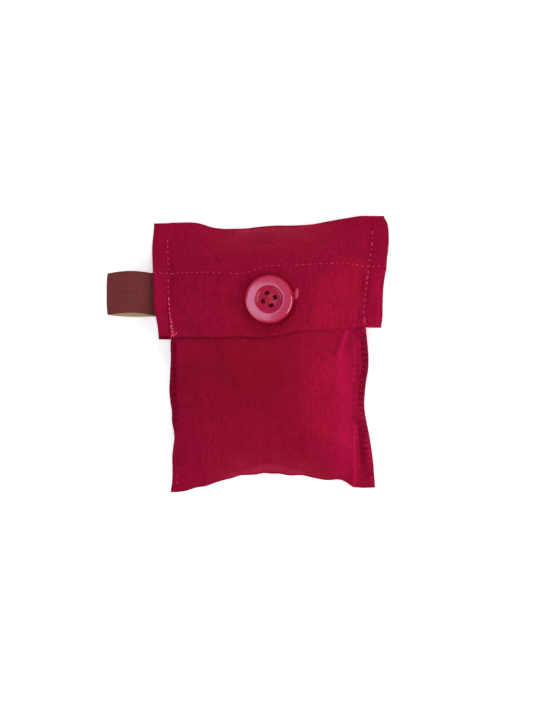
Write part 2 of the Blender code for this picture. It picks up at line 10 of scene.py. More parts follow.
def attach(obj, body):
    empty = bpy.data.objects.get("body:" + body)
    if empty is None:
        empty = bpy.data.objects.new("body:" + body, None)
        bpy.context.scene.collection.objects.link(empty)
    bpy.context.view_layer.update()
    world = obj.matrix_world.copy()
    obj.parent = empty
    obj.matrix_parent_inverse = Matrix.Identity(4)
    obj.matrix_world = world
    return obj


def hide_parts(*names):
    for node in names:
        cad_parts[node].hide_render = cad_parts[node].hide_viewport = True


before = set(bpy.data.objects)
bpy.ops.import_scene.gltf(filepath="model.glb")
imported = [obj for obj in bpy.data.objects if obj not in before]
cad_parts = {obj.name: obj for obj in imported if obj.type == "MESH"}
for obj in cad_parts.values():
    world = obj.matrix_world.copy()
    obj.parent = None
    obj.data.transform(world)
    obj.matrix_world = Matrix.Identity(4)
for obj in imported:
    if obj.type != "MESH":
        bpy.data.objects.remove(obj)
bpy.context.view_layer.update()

mm = 0.001

# the view: straight down, the pouch lies on its back
view = {
    "frameSize": (533, 711),
    "pixel": 0.475 * mm,  # size of a pixel at the height of the seams
    "originPixel": (269, 354),
    "seenHeight": 0.012,
    "lens": 100.0,
    "sensor": 36.0,
}

# the pouch, sizes as in the solid model
pouch = {
    "halfWidth": 0.0472,
    "length": 0.123,
    "cloth": 0.00035,
    "plyGap": 0.0003,
    "hemDepth": 0.030,
    "mouthDrop": 0.0155,
    "seamHeight": 0.0085,
    "cornerDroop": 0.0045,
    "levelShare": 0.45,
    "frontRise": 0.0165,
    "seamFlat": 0.0026,
    "seamFlatRight": 0.0058,
    "sideSlope": 0.034,
    "endSlope": 0.029,
    "swellPower": 2.2,
    "softFoot": 0.10,
    "backFlatten": 1.7,
    "wingDroop": 0.0012,
    "fade": 0.006,
}
pitch = pouch["cloth"] + pouch["plyGap"]

# outlines in millimetres, each point placed on the photograph
outline = {
    "top": [(-48.6, 62.2), (-44, 62.3), (-39, 62.6), (-35.5, 62.5), (-32, 61.9), (-27, 60.3), (-22, 59.5),
            (-17, 59.6), (-11, 59.8), (-6, 60.4), (0, 60.9), (9, 61.0), (18, 61.5), (27.5, 62.9),
            (37, 64.6), (43, 65.5), (49.6, 65.7)],
    "bottom": [(-46.9, -65.8), (-44, -65.7), (-40, -65.2), (-35.3, -63.6), (-30.2, -62.7), (-26, -61.1),
               (-21.4, -59.7), (-17.8, -58.9), (-14.7, -57.9), (-10.6, -57.5), (-6.5, -57.3), (-2.1, -56.6),
               (1.2, -56.9), (4.8, -56.9), (8.9, -57.7), (16.6, -57.7), (21.2, -58.7), (27.4, -60),
               (35.6, -60.3), (37.6, -61.4), (39.8, -63), (43, -63.5), (50.7, -63.6)],
    "left": [(-65.8, -47.0), (-60.7, -46.2), (-54.5, -46.0), (-49.4, -46.1), (-44.7, -45.6), (-39.6, -45.0),
             (-36.5, -45.3), (-32.3, -46.1), (-27.2, -46.2), (-22.6, -46.9), (-18.5, -47.3), (-9.2, -47.0),
             (-1.4, -46.7), (3.7, -46.8), (8.5, -46.6), (14.9, -46.6), (23, -47.3), (31.4, -47.7),
             (42.8, -47.9), (52.7, -48.4), (62.5, -48.6)],
    "right": [(-63.6, 50.7), (-57.7, 50.2), (-52.1, 49.7), (-45.4, 48.8), (-37.7, 47.5), (-31.5, 46.2),
              (-25.3, 45.3), (-19.1, 45.5), (-13, 46.2), (-6.8, 47.2), (-1.7, 47.3), (6.1, 46.7),
              (12.3, 46.1), (19, 45.3), (27.6, 45.6), (34.2, 46.5), (40.5, 47.4), (44.8, 48.0),
              (50.4, 48.9), (56.1, 49.3), (65.7, 49.6)],
    "flapEdge": [(-52.5, 7.6), (-47.5, 7.3), (-44.5, 8.3), (-36, 8.45), (-29.9, 8.4), (-16.6, 8.4),
                 (-10, 8.2), (-6.2, 7.8), (-1.9, 8.1), (2.4, 8.6), (6.6, 9.3), (12.1, 10.8), (15.1, 11.3),
                 (23.6, 11.8), (32, 12.2), (38.8, 12.7), (46, 13.0), (53.2, 12.8)],
    "leftWing": [(7.5, -52.5), (12.7, -53.0), (17.8, -53.8), (22.8, -54.7), (31.4, -55.1), (39, -55.3),
                 (45.3, -55.7), (51.8, -55.8), (58.9, -55.2), (62.7, -55.1)],
    "rightWing": [(12.7, 53.4), (17.8, 54.1), (24.1, 54.2), (31.4, 54.5), (37.3, 55.3), (41.1, 56.0),
                  (45.3, 56.3), (49.6, 56.9), (57.2, 57.3), (61, 57.0), (63.2, 56.5), (64.4, 55.7),
                  (65.6, 55.2)],
}


def smoothLine(name, at):
    # the smooth curve through an outline's points, in and out in metres
    places, values = np.array(outline[name], float).T * mm
    slopes = np.gradient(values, places)
    at = np.clip(np.asarray(at, float), places[0], places[-1])
    i = np.clip(np.searchsorted(places, at) - 1, 0, len(places) - 2)
    span = places[i + 1] - places[i]
    f = (at - places[i]) / span
    return (values[i] * (1 + 2 * f) * (1 - f) ** 2 + span * slopes[i] * f * (1 - f) ** 2
            + values[i + 1] * f * f * (3 - 2 * f) - span * slopes[i + 1] * f * f * (1 - f))


def smooth(value):
    value = np.clip(value, 0.0, 1.0)
    return value * value * (3 - 2 * value)


def mix(a, b, share):
    return a + (b - a) * share


def newObject(name, data):
    made = bpy.data.objects.new(name, data)
    bpy.context.scene.collection.objects.link(made)
    return made


def meshObject(name, points, faces, edges=()):
    mesh = bpy.data.meshes.new(name)
    mesh.from_pydata(points, edges, faces)
    return newObject(name, mesh)


def plan(s, t):
    # s runs from -1 at the left seam to 1 at the right one, t from 0 at the bottom fold to 1 at the top
    low = smoothLine("bottom", mix(-0.0469, 0.0507, (s + 1) / 2))
    high = smoothLine("top", mix(-0.0486, 0.0496, (s + 1) / 2))
    y = mix(low, high, t)
    x = mix(smoothLine("left", y), smoothLine("right", y), (s + 1) / 2)
    return x, y


def tAt(s, y):
    low = smoothLine("bottom", mix(-0.0469, 0.0507, (s + 1) / 2))
    high = smoothLine("top", mix(-0.0486, 0.0496, (s + 1) / 2))
    return (y - low) / (high - low)


def flapEdgeT(s):
    return tAt(s, smoothLine("flapEdge", s * pouch["halfWidth"]))


def hemTopT(s):
    return tAt(s, smoothLine("flapEdge", s * pouch["halfWidth"]) + pouch["hemDepth"])


def mouthT(s):
    return 1 - pouch["mouthDrop"] / pouch["length"] + 0 * s


def seamHeight(t):
    fromMiddle = np.clip((np.abs(2 * t - 1) - pouch["levelShare"]) / (1 - pouch["levelShare"]), 0, 1)
    return pouch["seamHeight"] - pouch["cornerDroop"] * fromMiddle ** 2


def swell(share):
    return 1 - (1 - np.clip(share, 0, 1)) ** pouch["swellPower"]


def fullness(s, t):
    wide = smooth(s / 0.4) * (1 - smooth((t - 0.57) / 0.12))
    flat = mix(pouch["seamFlat"], pouch["seamFlatRight"], wide)
    side = pouch["halfWidth"] * (1 - np.abs(s)) - flat
    end = pouch["length"] * np.minimum(t, 1 - t)
    side = np.maximum(side, 0) / pouch["sideSlope"]
    side = side * side / (side + pouch["softFoot"])
    return swell(side) * swell(end / pouch["endSlope"])


button = {
    "middle": (0.0, 0.0255),
    "radius": 0.0114,
    "thick": 0.0036,
    "shank": 0.0014,
    "wellRadius": 0.0064,
    "wellDepth": 0.0014,
    "wellLip": 0.00035,
    "cupInset": 0.0013,
    "cupRise": 0.00055,
    "ringInset": 0.00115,
    "ringFall": 0.00024,
    "bevelWidth": 0.000376,
    "bevelFall": 0.00020,
    "rimWidth": 0.0017,
    "rimHeight": 0.0014,
    "rimFrom": 57,
    "holeRadius": 0.0011,
    "holeCircle": 0.0028,
    "holeTurn": 18.0,
    "steps": 128,
    "pressDepth": 0.0006,
    "pressRadius": 0.0134,
    "pressFade": 0.012,
}

# the buttonhole under it, cut through the flap and its hem
buttonhole = {"left": -0.0108, "right": 0.0132, "turn": 8.0, "half": 0.0009, "ease": 0.006, "ends": 0.004}


def freeHeight(s, t):
    return seamHeight(t) + pitch / 2 + pouch["frontRise"] * fullness(s, t)


def pressHeight():
    return float(freeHeight(0.0, 0.7073) - button["pressDepth"])


def pressShare(x, y):
    # 1 where the button holds the cloth flat
    away = np.hypot(x - button["middle"][0], y - button["middle"][1])
    return 1 - smooth((away - button["pressRadius"]) / button["pressFade"])


def frontShape(s, t):
    x, y = plan(s, t)
    return np.stack([x, y, mix(freeHeight(s, t), pressHeight(), pressShare(x, y))], -1)


def backShape(s, t):
    x, y = plan(s, t)
    down = np.minimum(1.0, pouch["backFlatten"] * fullness(s, t))
    return np.stack([x, y, mix(seamHeight(t) - pitch / 2, pouch["cloth"] / 2, down)], -1)


# the filled pouch is settled as cloth first, and every ply of the strip then follows it
settle = {
    "columns": 61,
    "rows": 79,
    "enlarge": 10.0,
    "frames": 18,
    "pressure": 2.2,
    "slack": -0.012,
    "furthest": 0.0012,
    "blur": 3,
    "rounding": 6,
}


def gridIndex(side, i, j):
    return (side * settle["rows"] + j) * settle["columns"] + i


def pillowMesh():
    s, t = np.meshgrid(np.linspace(-1, 1, settle["columns"]), np.linspace(0, 1, settle["rows"]))
    points = np.stack([frontShape(s, t), backShape(s, t)])
    faces = []
    for j in range(settle["rows"] - 1):
        for i in range(settle["columns"] - 1):
            quad = [(i, j), (i + 1, j), (i + 1, j + 1), (i, j + 1)]
            faces.append([gridIndex(0, *corner) for corner in quad])
            faces.append([gridIndex(1, *corner) for corner in reversed(quad)])
    lastI, lastJ = settle["columns"] - 1, settle["rows"] - 1
    rim = [(i, 0) for i in range(lastI)] + [(lastI, j) for j in range(lastJ)]
    rim += [(lastI - i, lastJ) for i in range(lastI)] + [(0, lastJ - j) for j in range(lastJ)]
    for a, b in zip(rim, rim[1:] + rim[:1]):
        faces.append([gridIndex(0, *a), gridIndex(1, *a), gridIndex(1, *b), gridIndex(0, *b)])
    return points, faces, rim


def settlePillow():
    # returns how far the cloth settles away from the drawn shape, for the front and the back
    points, faces, rim = pillowMesh()
    rounder = roundedFront(points[0])
    points = points + rounder
    pillow = meshObject("settling", (points.reshape(-1, 3) * settle["enlarge"]).tolist(), faces)
    held = pillow.vertex_groups.new(name="held")
    held.add([gridIndex(side, i, j) for side in (0, 1) for i, j in rim], 1.0, "REPLACE")
    x, y = points[0, ..., 0], points[0, ..., 1]
    for j, i in np.argwhere(pressShare(x, y) > 0.9):
        held.add([gridIndex(0, int(i), int(j))], 1.0, "REPLACE")
    cloth = pillow.modifiers.new("settle", "CLOTH")
    cloth.settings.quality = 6
    cloth.settings.mass = 0.15
    cloth.settings.tension_stiffness = 12
    cloth.settings.compression_stiffness = 12
    cloth.settings.shear_stiffness = 4
    cloth.settings.bending_stiffness = 0.25
    cloth.settings.vertex_group_mass = "held"
    cloth.settings.use_pressure = True
    cloth.settings.uniform_pressure_force = settle["pressure"]
    cloth.settings.shrink_min = settle["slack"]
    cloth.settings.effector_weights.gravity = 0
    cloth.collision_settings.use_collision = False
    cloth.point_cache.frame_start = 1
    cloth.point_cache.frame_end = settle["frames"]
    scene = bpy.context.scene
    for number in range(1, settle["frames"] + 1):
        scene.frame_set(number)
    graph = bpy.context.evaluated_depsgraph_get()
    settled = pillow.evaluated_get(graph).to_mesh()
    flat = np.zeros(len(settled.vertices) * 3)
    settled.vertices.foreach_get("co", flat)
    moved = flat.reshape(points.shape) / settle["enlarge"] - points
    scene.frame_set(1)
    bpy.data.objects.remove(pillow)
    for _ in range(settle["blur"]):
        moved[:, 1:-1, 1:-1] = (2 * moved[:, 1:-1, 1:-1] + moved[:, :-2, 1:-1] + moved[:, 2:, 1:-1]
                                + moved[:, 1:-1, :-2] + moved[:, 1:-1, 2:]) / 6
    length = np.linalg.norm(moved, axis=-1, keepdims=True)
    print("cloth settled, furthest move", round(float(length.max()) * 1000, 2), "mm")
    return rounder + moved * np.minimum(1, settle["furthest"] / np.maximum(length, 1e-9))


def roundedFront(front):
    # takes the hard change from slope to plateau out of the drawn front
    height = front[..., 2].copy()
    for _ in range(settle["rounding"]):
        height[1:-1, 1:-1] = (height[1:-1, 1:-1] * 2 + height[:-2, 1:-1] + height[2:, 1:-1]
                              + height[1:-1, :-2] + height[1:-1, 2:]) / 6
    x, y = front[..., 0], front[..., 1]
    change = (height - front[..., 2]) * (1 - pressShare(x, y) * smooth((pressShare(x, y) - 0.5) / 0.4))
    rounder = np.zeros((2, *front.shape))
    rounder[0, ..., 2] = np.clip(change, -0.0014, 0.0002)
    return rounder


def sampleGrid(grid, s, t):
    # cubic reading of a field on the settling grid
    rows, columns = grid.shape[:2]
    u = (np.clip(s, -1, 1) + 1) / 2 * (columns - 1)
    v = np.clip(t, 0, 1) * (rows - 1)
    i = np.clip(np.floor(u).astype(int), 0, columns - 2)
    j = np.clip(np.floor(v).astype(int), 0, rows - 2)
    fu, fv = (u - i)[..., None], (v - j)[..., None]
    total = 0.0
    for dj, wv in enumerate(cubicWeights(fv)):
        for di, wu in enumerate(cubicWeights(fu)):
            row = np.clip(j + dj - 1, 0, rows - 1)
            column = np.clip(i + di - 1, 0, columns - 1)
            total = total + grid[row, column] * wu * wv
    return total


def cubicWeights(f):
    return [(-f + 2 * f * f - f ** 3) / 2, (2 - 5 * f * f + 3 * f ** 3) / 2,
            (f + 4 * f * f - 3 * f ** 3) / 2, (f ** 3 - f * f) / 2]


# creases that the photograph shows: from, to, half width and height in millimetres (negative is a valley)
creases = {
    "body": [
        ((40.6, -33), (41.0, -66), 1.1, 0.70),
        ((43.6, -38), (43.8, -64), 1.8, -0.7),
        ((33.4, 0.5), (36.6, 9.5), 0.9, 0.42),
        ((30.6, 1.5), (33.4, 9.0), 1.3, -0.30),
        ((-44.7, 6), (-44.4, -24), 1.0, -0.85),
        ((-44.4, -24), (-43.4, -38), 0.9, -0.6),
        ((-42.2, 4), (-42.2, -30), 1.3, 0.30),
        ((-33, -50), (-30.5, -63), 2.4, -0.5),
        ((-38.5, -50), (-37, -64), 2.0, 0.3),
        ((-24, 6), (-17, -12), 1.2, -0.20),
        ((-8, -12), (-12, -30), 1.3, -0.12),
        ((-5, 5), (5, 1), 0.9, -0.12),
        ((-20.5, -57.8), (-9, -54.6), 1.3, 0.30),
        ((-9, -54.6), (-1.5, -51.8), 1.3, 0.34),
        ((-1.5, -51.8), (6, -53.2), 1.3, 0.34),
        ((6, -53.2), (16, -56.0), 1.3, 0.28),
    ],
    "flap": [
        ((-34.6, 57), (-24, 43.5), 1.2, -0.22),
        ((10, 58), (20, 44), 1.4, -0.12),
        ((-14, 57), (-8, 44), 1.5, 0.12),
        ((27, 60), (30, 46), 1.6, 0.14),
        ((43.9, 39), (43.3, 30), 2.0, -0.20),
        ((41.5, 50.5), (45.5, 49), 0.8, -0.16),
        ((-43.6, 44), (-43.2, 22), 1.3, -0.35),
        ((14.0, 25.4), (17.4, 20.8), 0.6, 0.22),
        ((12.8, 24.6), (16.2, 20.0), 0.6, -0.22),
    ],
}


def creaseHeight(x, y):
    height = np.zeros_like(x)
    for a, b, width, rise in creases["body"] + creases["flap"]:
        ax, ay, bx, by = (value * mm for value in (*a, *b))
        along = np.array([bx - ax, by - ay])
        length = np.hypot(*along)
        along = along / length
        u = ((x - ax) * along[0] + (y - ay) * along[1]) / length
        across = (x - ax) * -along[1] + (y - ay) * along[0]
        ends = smooth((u + 0.25) / 0.4) * smooth((1.25 - u) / 0.4)
        height += rise * mm * ends * np.exp(-(across / (width * mm)) ** 2)
    return height


def rumple(x, y, size, seed):
    # a smooth random field, worked out from waves so that it is the same each run
    random = np.random.default_rng(seed)
    total = np.zeros_like(x)
    for _ in range(26):
        angle = random.uniform(0, 2 * math.pi)
        wave = 2 * math.pi / (size * random.uniform(0.6, 1.7))
        phase = random.uniform(0, 2 * math.pi)
        total += np.sin((x * math.cos(angle) + y * math.sin(angle)) * wave + phase)
    return total / math.sqrt(26 / 2)


# rows of machine stitches, in millimetres
seams = {
    "flapLeft": [(-48.5, 54), (-48.0, 42.8), (-47.9, 31.4), (-47.6, 23), (-46.8, 14.9), (-46.2, 9.6)],
    "flapRight": [(49.4, 58), (48.9, 50.4), (48.0, 44.8), (47.4, 40.5), (46.5, 34.2), (45.6, 27.6),
                  (45.2, 22.3), (44.8, 19), (46.1, 14.7)],
    "hem": [(-54.4, 38.6), (-49, 38.4), (-45.7, 38.2), (-43.1, 38.4), (-34.2, 38.5), (-28, 38.4), (-22, 38.1),
            (-11, 38.0), (-8, 38.9), (-5.5, 39.8), (-2, 40.9), (11, 41.2), (15.4, 41.8), (24.2, 42.3),
            (30, 42.7), (35.6, 42.9), (41.3, 42.3), (45.6, 41.6), (52, 42.0), (55.2, 42.1)],
    "bodyRightInner": [(39.5, 9.5), (40.1, 3.3), (40.7, -2.3), (41.3, -6.9), (40.8, -12.3), (40.6, -17.6),
                       (40.5, -20.4), (41.1, -24.2), (40.8, -30.7), (41.6, -35), (41.8, -43), (42.3, -48.5),
                       (42.8, -53)],
    "bodyRightOuter": [(44.4, 11.5), (44.5, 6.7), (44.9, 0.5), (45.0, -1.9), (45.1, -4.5), (44.0, -11.9),
                       (43.5, -19), (44.0, -29), (44.9, -34.2), (45.9, -41.3), (47.1, -47.6), (48.1, -54.2),
                       (49.0, -59)],
    "bodyLeft": [(-45.0, 5), (-45.1, 0), (-45.2, -12), (-44.9, -23), (-44.2, -32), (-43.2, -36),
                 (-43.1, -42), (-43.6, -49), (-43.8, -54), (-43.9, -62)],
}


def densePoints(points, step=0.25 * mm):
    # an even polyline along the smooth curve through the points, in metres
    route = np.array(points, float) * mm
    gone = np.concatenate([[0], np.cumsum(np.linalg.norm(np.diff(route, axis=0), axis=1))])
    slopes = np.gradient(route, gone, axis=0)
    at = np.linspace(0, gone[-1], max(int(gone[-1] / step), 2))
    i = np.clip(np.searchsorted(gone, at) - 1, 0, len(gone) - 2)
    span = (gone[i + 1] - gone[i])[:, None]
    f = ((at - gone[i]) / span[:, 0])[:, None]
    return (route[i] * (1 + 2 * f) * (1 - f) ** 2 + span * slopes[i] * f * (1 - f) ** 2
            + route[i + 1] * f * f * (3 - 2 * f) - span * slopes[i + 1] * f * f * (1 - f))


dimple = {"pitch": 3.0 * mm, "width": 1.0 * mm, "line": 0.16 * mm, "pucker": 0.11 * mm}


def stitchDimples(names, x, y, depth=1.0):
    # the cloth sinks along a row of stitches and puckers between them
    height = np.zeros_like(x)
    for name in names:
        line = densePoints(seams[name], 1.0 * mm)
        low, high = line.min(0) - 0.006, line.max(0) + 0.006
        near = (x > low[0]) & (x < high[0]) & (y > low[1]) & (y < high[1])
        if not near.any():
            continue
        away = np.hypot(x[near][:, None] - line[:, 0], y[near][:, None] - line[:, 1])
        nearest = away.argmin(1)
        closest = away[np.arange(len(nearest)), nearest]
        wave = np.sin(nearest * 1.0 * mm / dimple["pitch"] * 2 * math.pi)
        sink = -dimple["line"] * np.exp(-(closest / dimple["width"]) ** 2)
        pucker = dimple["pucker"] * wave * np.exp(-(closest / (2.4 * dimple["width"])) ** 2)
        height[near] += depth * (sink + pucker)
    return height


settled = settlePillow()


def frontSurface(s, t):
    # the settled front with its creases, which every front ply follows
    shape = frontShape(s, t) + sampleGrid(settled[0], s, t)
    x, y = shape[..., 0], shape[..., 1]
    inside = smooth((1 - np.abs(s)) / 0.05) * smooth(np.minimum(t, 1 - t) / 0.03)
    away = np.hypot(x - button["middle"][0], y - button["middle"][1])
    free = 0.15 + 0.85 * smooth((away - button["radius"]) / 0.004)
    shape[..., 2] += inside * free * (
        creaseHeight(x, y) + 0.07 * mm * rumple(x, y, 0.017, 3) + 0.030 * mm * rumple(x, y, 0.006, 5))
    return shape


def backSurface(s, t):
    shape = backShape(s, t)
    moved = sampleGrid(settled[1], s, t)
    raised = smooth((shape[..., 2] - pouch["cloth"] / 2) / 0.003)[..., None]
    shape = shape + moved * raised
    x, y = shape[..., 0], shape[..., 1]
    shape[..., 2] += raised[..., 0] * smooth((1 - np.abs(s)) / 0.05) * 0.14 * mm * rumple(x, y, 0.014, 11)
    return shape


def lifted(surface, s, t, lift):
    step = 0.004
    lowS, highS = np.maximum(s - step, -1), np.minimum(s + step, 1)
    lowT, highT = np.maximum(t - step, 0), np.minimum(t + step, 1)
    normal = np.cross(surface(highS, t) - surface(lowS, t), surface(s, highT) - surface(s, lowT))
    normal /= np.linalg.norm(normal, axis=-1, keepdims=True)
    return surface(s, t) + normal * np.asarray(lift)[..., None]


label = {
    "middle": 0.0286,
    "width": 0.0199,
    "thick": 0.0004,
    "reach": 0.0298,
    "bow": 0.0011,
    "lean": 0.0011,
    "foldRadius": 0.0006,
    "sag": 0.0016,
    "seamGap": 0.0012,
    "allowance": 0.0074,
}


def labelRoom(y, outward):
    # the left wing's plies stand apart where the label lies between them
    near = 1 - smooth((np.abs(y - label["middle"]) - label["width"] / 2 - label["lean"]) / pouch["fade"])
    needed = pouch["cloth"] + 2 * label["thick"] + 3 * pouch["plyGap"]
    return near * np.maximum(needed - pitch * (2 - outward), 0)


def leftRoom(s, y, outward):
    return labelRoom(y, outward) * (1 - smooth((s + 1) * pouch["halfWidth"] / pouch["fade"]))


def flapLift(s, t, outward):
    overHem = 1 - smooth((t - hemTopT(s)) * pouch["length"] / pouch["fade"])
    overPanel = 1 - smooth((t - mouthT(s)) * pouch["length"] / pouch["fade"])
    return pitch * (overHem + overPanel * (1 - outward)) + leftRoom(s, plan(s, t)[1], outward)


def hemLift(s, t, outward):
    return pitch * (1 - outward) + leftRoom(s, plan(s, t)[1], outward)


def noLift(s, t, outward):
    return 0.0 * s + 0.0 * t


def wingReach(side, y):
    seamX = plan(side * np.ones_like(y), tAt(side, y))[0]
    return np.abs(smoothLine("leftWing" if side < 0 else "rightWing", y) - seamX)


def wingPoints(surface, side, outward, t, lift, ply):
    seam = surface(np.full_like(t, side), t)
    reach = wingReach(side, seam[..., 1])
    x = seam[..., 0] + side * reach * outward
    ripple = 0.35 * mm * np.sin(seam[..., 1] / 0.0125 + side + 0.5 * ply) * outward
    z = seam[..., 2] + lift + ripple - pouch["wingDroop"] * outward ** 2
    return np.stack([x, seam[..., 1], z], -1)


# the strip of silk, in the order that it runs
strip = {"columns": 122, "wingColumns": 8, "foldRows": 5}


def plyGrid(surface, tFrom, tTo, count, lift, wings, ply):
    # rows of points from one line of a ply up to another
    edge = pouch["seamFlat"] / pouch["halfWidth"] / 2
    s = np.concatenate([[-1], np.linspace(-1 + edge, 1 - edge, strip["columns"] - 1), [1]])
    share = np.linspace(0, 1, count)[:, None]
    grid = np.broadcast_to(s, (count, len(s)))
    t = mix(tFrom(s)[None], tTo(s)[None], share)
    body = lifted(surface, grid, t, lift(grid, t, 0.0))
    if not wings:
        return body
    sides = []
    for side in (-1, 1):
        out = np.arange(1, strip["wingColumns"] + 1) / strip["wingColumns"]
        one = np.array([float(side)])
        tEdge = mix(tFrom(one)[None], tTo(one)[None], share) * np.ones_like(out)
        outward = np.broadcast_to(out, tEdge.shape)
        away = lift(np.full_like(tEdge, side), tEdge, outward)
        sides.append(wingPoints(surface, side, outward, tEdge, away, ply))
    return np.concatenate([sides[0][:, ::-1], body, sides[1]], axis=1)


def foldGrid(first, last, outward):
    # a half circle of rows from one ply's last row to the next ply's first
    rows = []
    middle, half = (first + last) / 2, (first - last) / 2
    radius = np.linalg.norm(half, axis=-1, keepdims=True)
    for step in range(1, strip["foldRows"] + 1):
        angle = math.pi * step / (strip["foldRows"] + 1)
        rows.append(middle + half * math.cos(angle) + np.array([0, outward, 0]) * radius * math.sin(angle))
    return np.array(rows)


def slitY(x):
    return button["middle"][1] + (x - button["middle"][0]) * math.tan(math.radians(buttonhole["turn"]))


def slitHalf(x):
    # half of the buttonhole's opening at a place along it
    along = (x - button["middle"][0]) / math.cos(math.radians(buttonhole["turn"]))
    share = np.where(along < 0, along / buttonhole["left"], along / buttonhole["right"])
    return buttonhole["half"] * np.maximum(1 - share * share, 0)


def openSlit(block):
    # bends the nearest row onto the buttonhole's line, and opens it in two
    middle = block.shape[1] // 2
    nearest = int(np.abs(block[:, middle, 1] - button["middle"][1]).argmin())
    x, y = block[..., 0], block[..., 1]
    shift = slitY(x[nearest]) - y[nearest]
    reach = np.abs(x[nearest] - button["middle"][0])
    shift *= smooth((buttonhole["right"] + buttonhole["ends"] - reach) / buttonhole["ends"])
    block[..., 1] += shift * smooth(1 - np.abs(y - y[nearest]) / buttonhole["ease"])
    first, second = block[nearest].copy(), block[nearest].copy()
    before = np.sign(block[nearest - 1, middle, 1] - block[nearest, middle, 1])
    first[:, 1] += before * slitHalf(first[:, 0])
    second[:, 1] -= before * slitHalf(second[:, 0])
    return np.concatenate([block[:nearest], first[None], second[None], block[nearest + 1:]]), nearest


def stripMesh():
    zero, one = (lambda s: 0 * s), (lambda s: 0 * s + 1)
    hidden = plyGrid(frontSurface, flapEdgeT, mouthT, 16, noLift, False, 0)[::-1]
    panel = plyGrid(frontSurface, zero, flapEdgeT, 92, noLift, False, 0)[::-1]
    backLow = plyGrid(backSurface, zero, flapEdgeT, 56, noLift, False, 1)
    backHigh = plyGrid(backSurface, flapEdgeT, one, 42, noLift, True, 1)
    flapFront = plyGrid(frontSurface, flapEdgeT, one, 66, flapLift, True, 2)[::-1]
    hem = plyGrid(frontSurface, flapEdgeT, hemTopT, 30, hemLift, True, 3)
    x, y = panel[..., 0], panel[..., 1]
    panel[..., 2] += stitchDimples(["bodyLeft", "bodyRightInner", "bodyRightOuter"], x, y)
    x, y = flapFront[..., 0], flapFront[..., 1]
    flapFront[..., 2] += stitchDimples(["flapLeft", "flapRight", "hem"], x, y)
    bottomFold = foldGrid(panel[-1], backLow[0], -1)
    topFold = foldGrid(backHigh[-1], flapFront[0], 1)
    hemFold = foldGrid(flapFront[-1], hem[0], -1)
    flapFront, flapSlit = openSlit(flapFront)
    hem, hemSlit = openSlit(hem)
    blocks = [hidden[:-1], panel, bottomFold, backLow[:-1], backHigh, topFold, flapFront, hemFold, hem]
    beforeFlap = sum(len(block) for block in blocks[:6])
    afterFlap = beforeFlap + len(flapFront)
    slits = (beforeFlap + flapSlit, afterFlap + len(hemFold) + hemSlit)
    rows = [row for block in blocks for row in block]
    return rows, (hidden, panel, bottomFold, backLow), (beforeFlap, afterFlap, len(hemFold)), slits


def joinStrip(rows, slits):
    # vertices, faces, and where each row starts; nothing spans an open slit
    points, faces, starts = [], [], []
    for row in rows:
        starts.append(len(points))
        points.extend(row.tolist())
    spare = strip["wingColumns"]
    narrow = min(len(row) for row in rows)
    for k in range(len(rows) - 1):
        if k in slits:
            continue
        a, b = starts[k], starts[k + 1]
        count = min(len(rows[k]), len(rows[k + 1]))
        a += spare if len(rows[k]) > count else 0
        b += spare if len(rows[k + 1]) > count else 0
        for i in range(count - 1):
            faces.append((a + i, a + i + 1, b + i + 1, b + i))
    return points, faces, starts


def stripCoordinates(rows, slits):
    along, gone = [], 0.0
    for k, row in enumerate(rows):
        middle = row[len(row) // 2]
        if k and k - 1 not in slits:
            gone += float(np.linalg.norm(middle - last))
        last = middle
        along.append(gone)
    return along


def closeSlitEnds(mesh, rows, starts, slits):
    # past its ends the two copies of a slit's row are one
    bm = bmesh.new()
    bm.from_mesh(mesh)
    bm.verts.ensure_lookup_table()
    same = {}
    for k in slits:
        for i in np.flatnonzero(np.linalg.norm(rows[k] - rows[k + 1], axis=1) < 1e-9):
            same[bm.verts[starts[k + 1] + int(i)]] = bm.verts[starts[k] + int(i)]
    bmesh.ops.weld_verts(bm, targetmap=same)
    bm.to_mesh(mesh)
    bm.free()


# painted shade along the seams' grooves: row, from y, to y, offset across it, width and strength, in
# millimetres
grooves = [
    ("bodyLeft", 9.0, -34.0, 0.0, 0.8, 0.85), ("bodyLeft", 10.0, -38.0, -1.6, 1.3, 0.68),
    ("bodyLeft", -33.0, -62.0, 0.0, 0.5, 0.30), ("bodyLeft", -50.0, -64.0, 3.0, 2.6, 0.24),
    ("bodyRightOuter", 10.5, -28.0, 0.0, 0.7, 0.80), ("bodyRightOuter", 10.5, -30.0, 1.6, 1.2, 0.74),
    ("bodyRightOuter", -26.0, -60.0, 0.0, 0.5, 0.30), ("bodyRightOuter", -42.0, -66.0, -1.8, 1.5, 0.50),
    ("bodyRightInner", -30.0, -64.0, 2.6, 1.7, 0.60), ("bodyRightInner", 9.0, -62.0, 0.0, 0.5, 0.12),
    ("bodyRightInner", 10.0, -8.0, -1.6, 1.8, 0.14),
    ("flapLeft", 54.0, 8.0, 0.4, 0.8, 0.24), ("flapRight", 60.0, 12.0, 0.4, 0.8, 0.34),
    ("flapRight", 40.0, 14.0, -1.6, 1.2, 0.18), ("hem", 60.0, 30.0, 0.0, 0.5, 0.12),
]
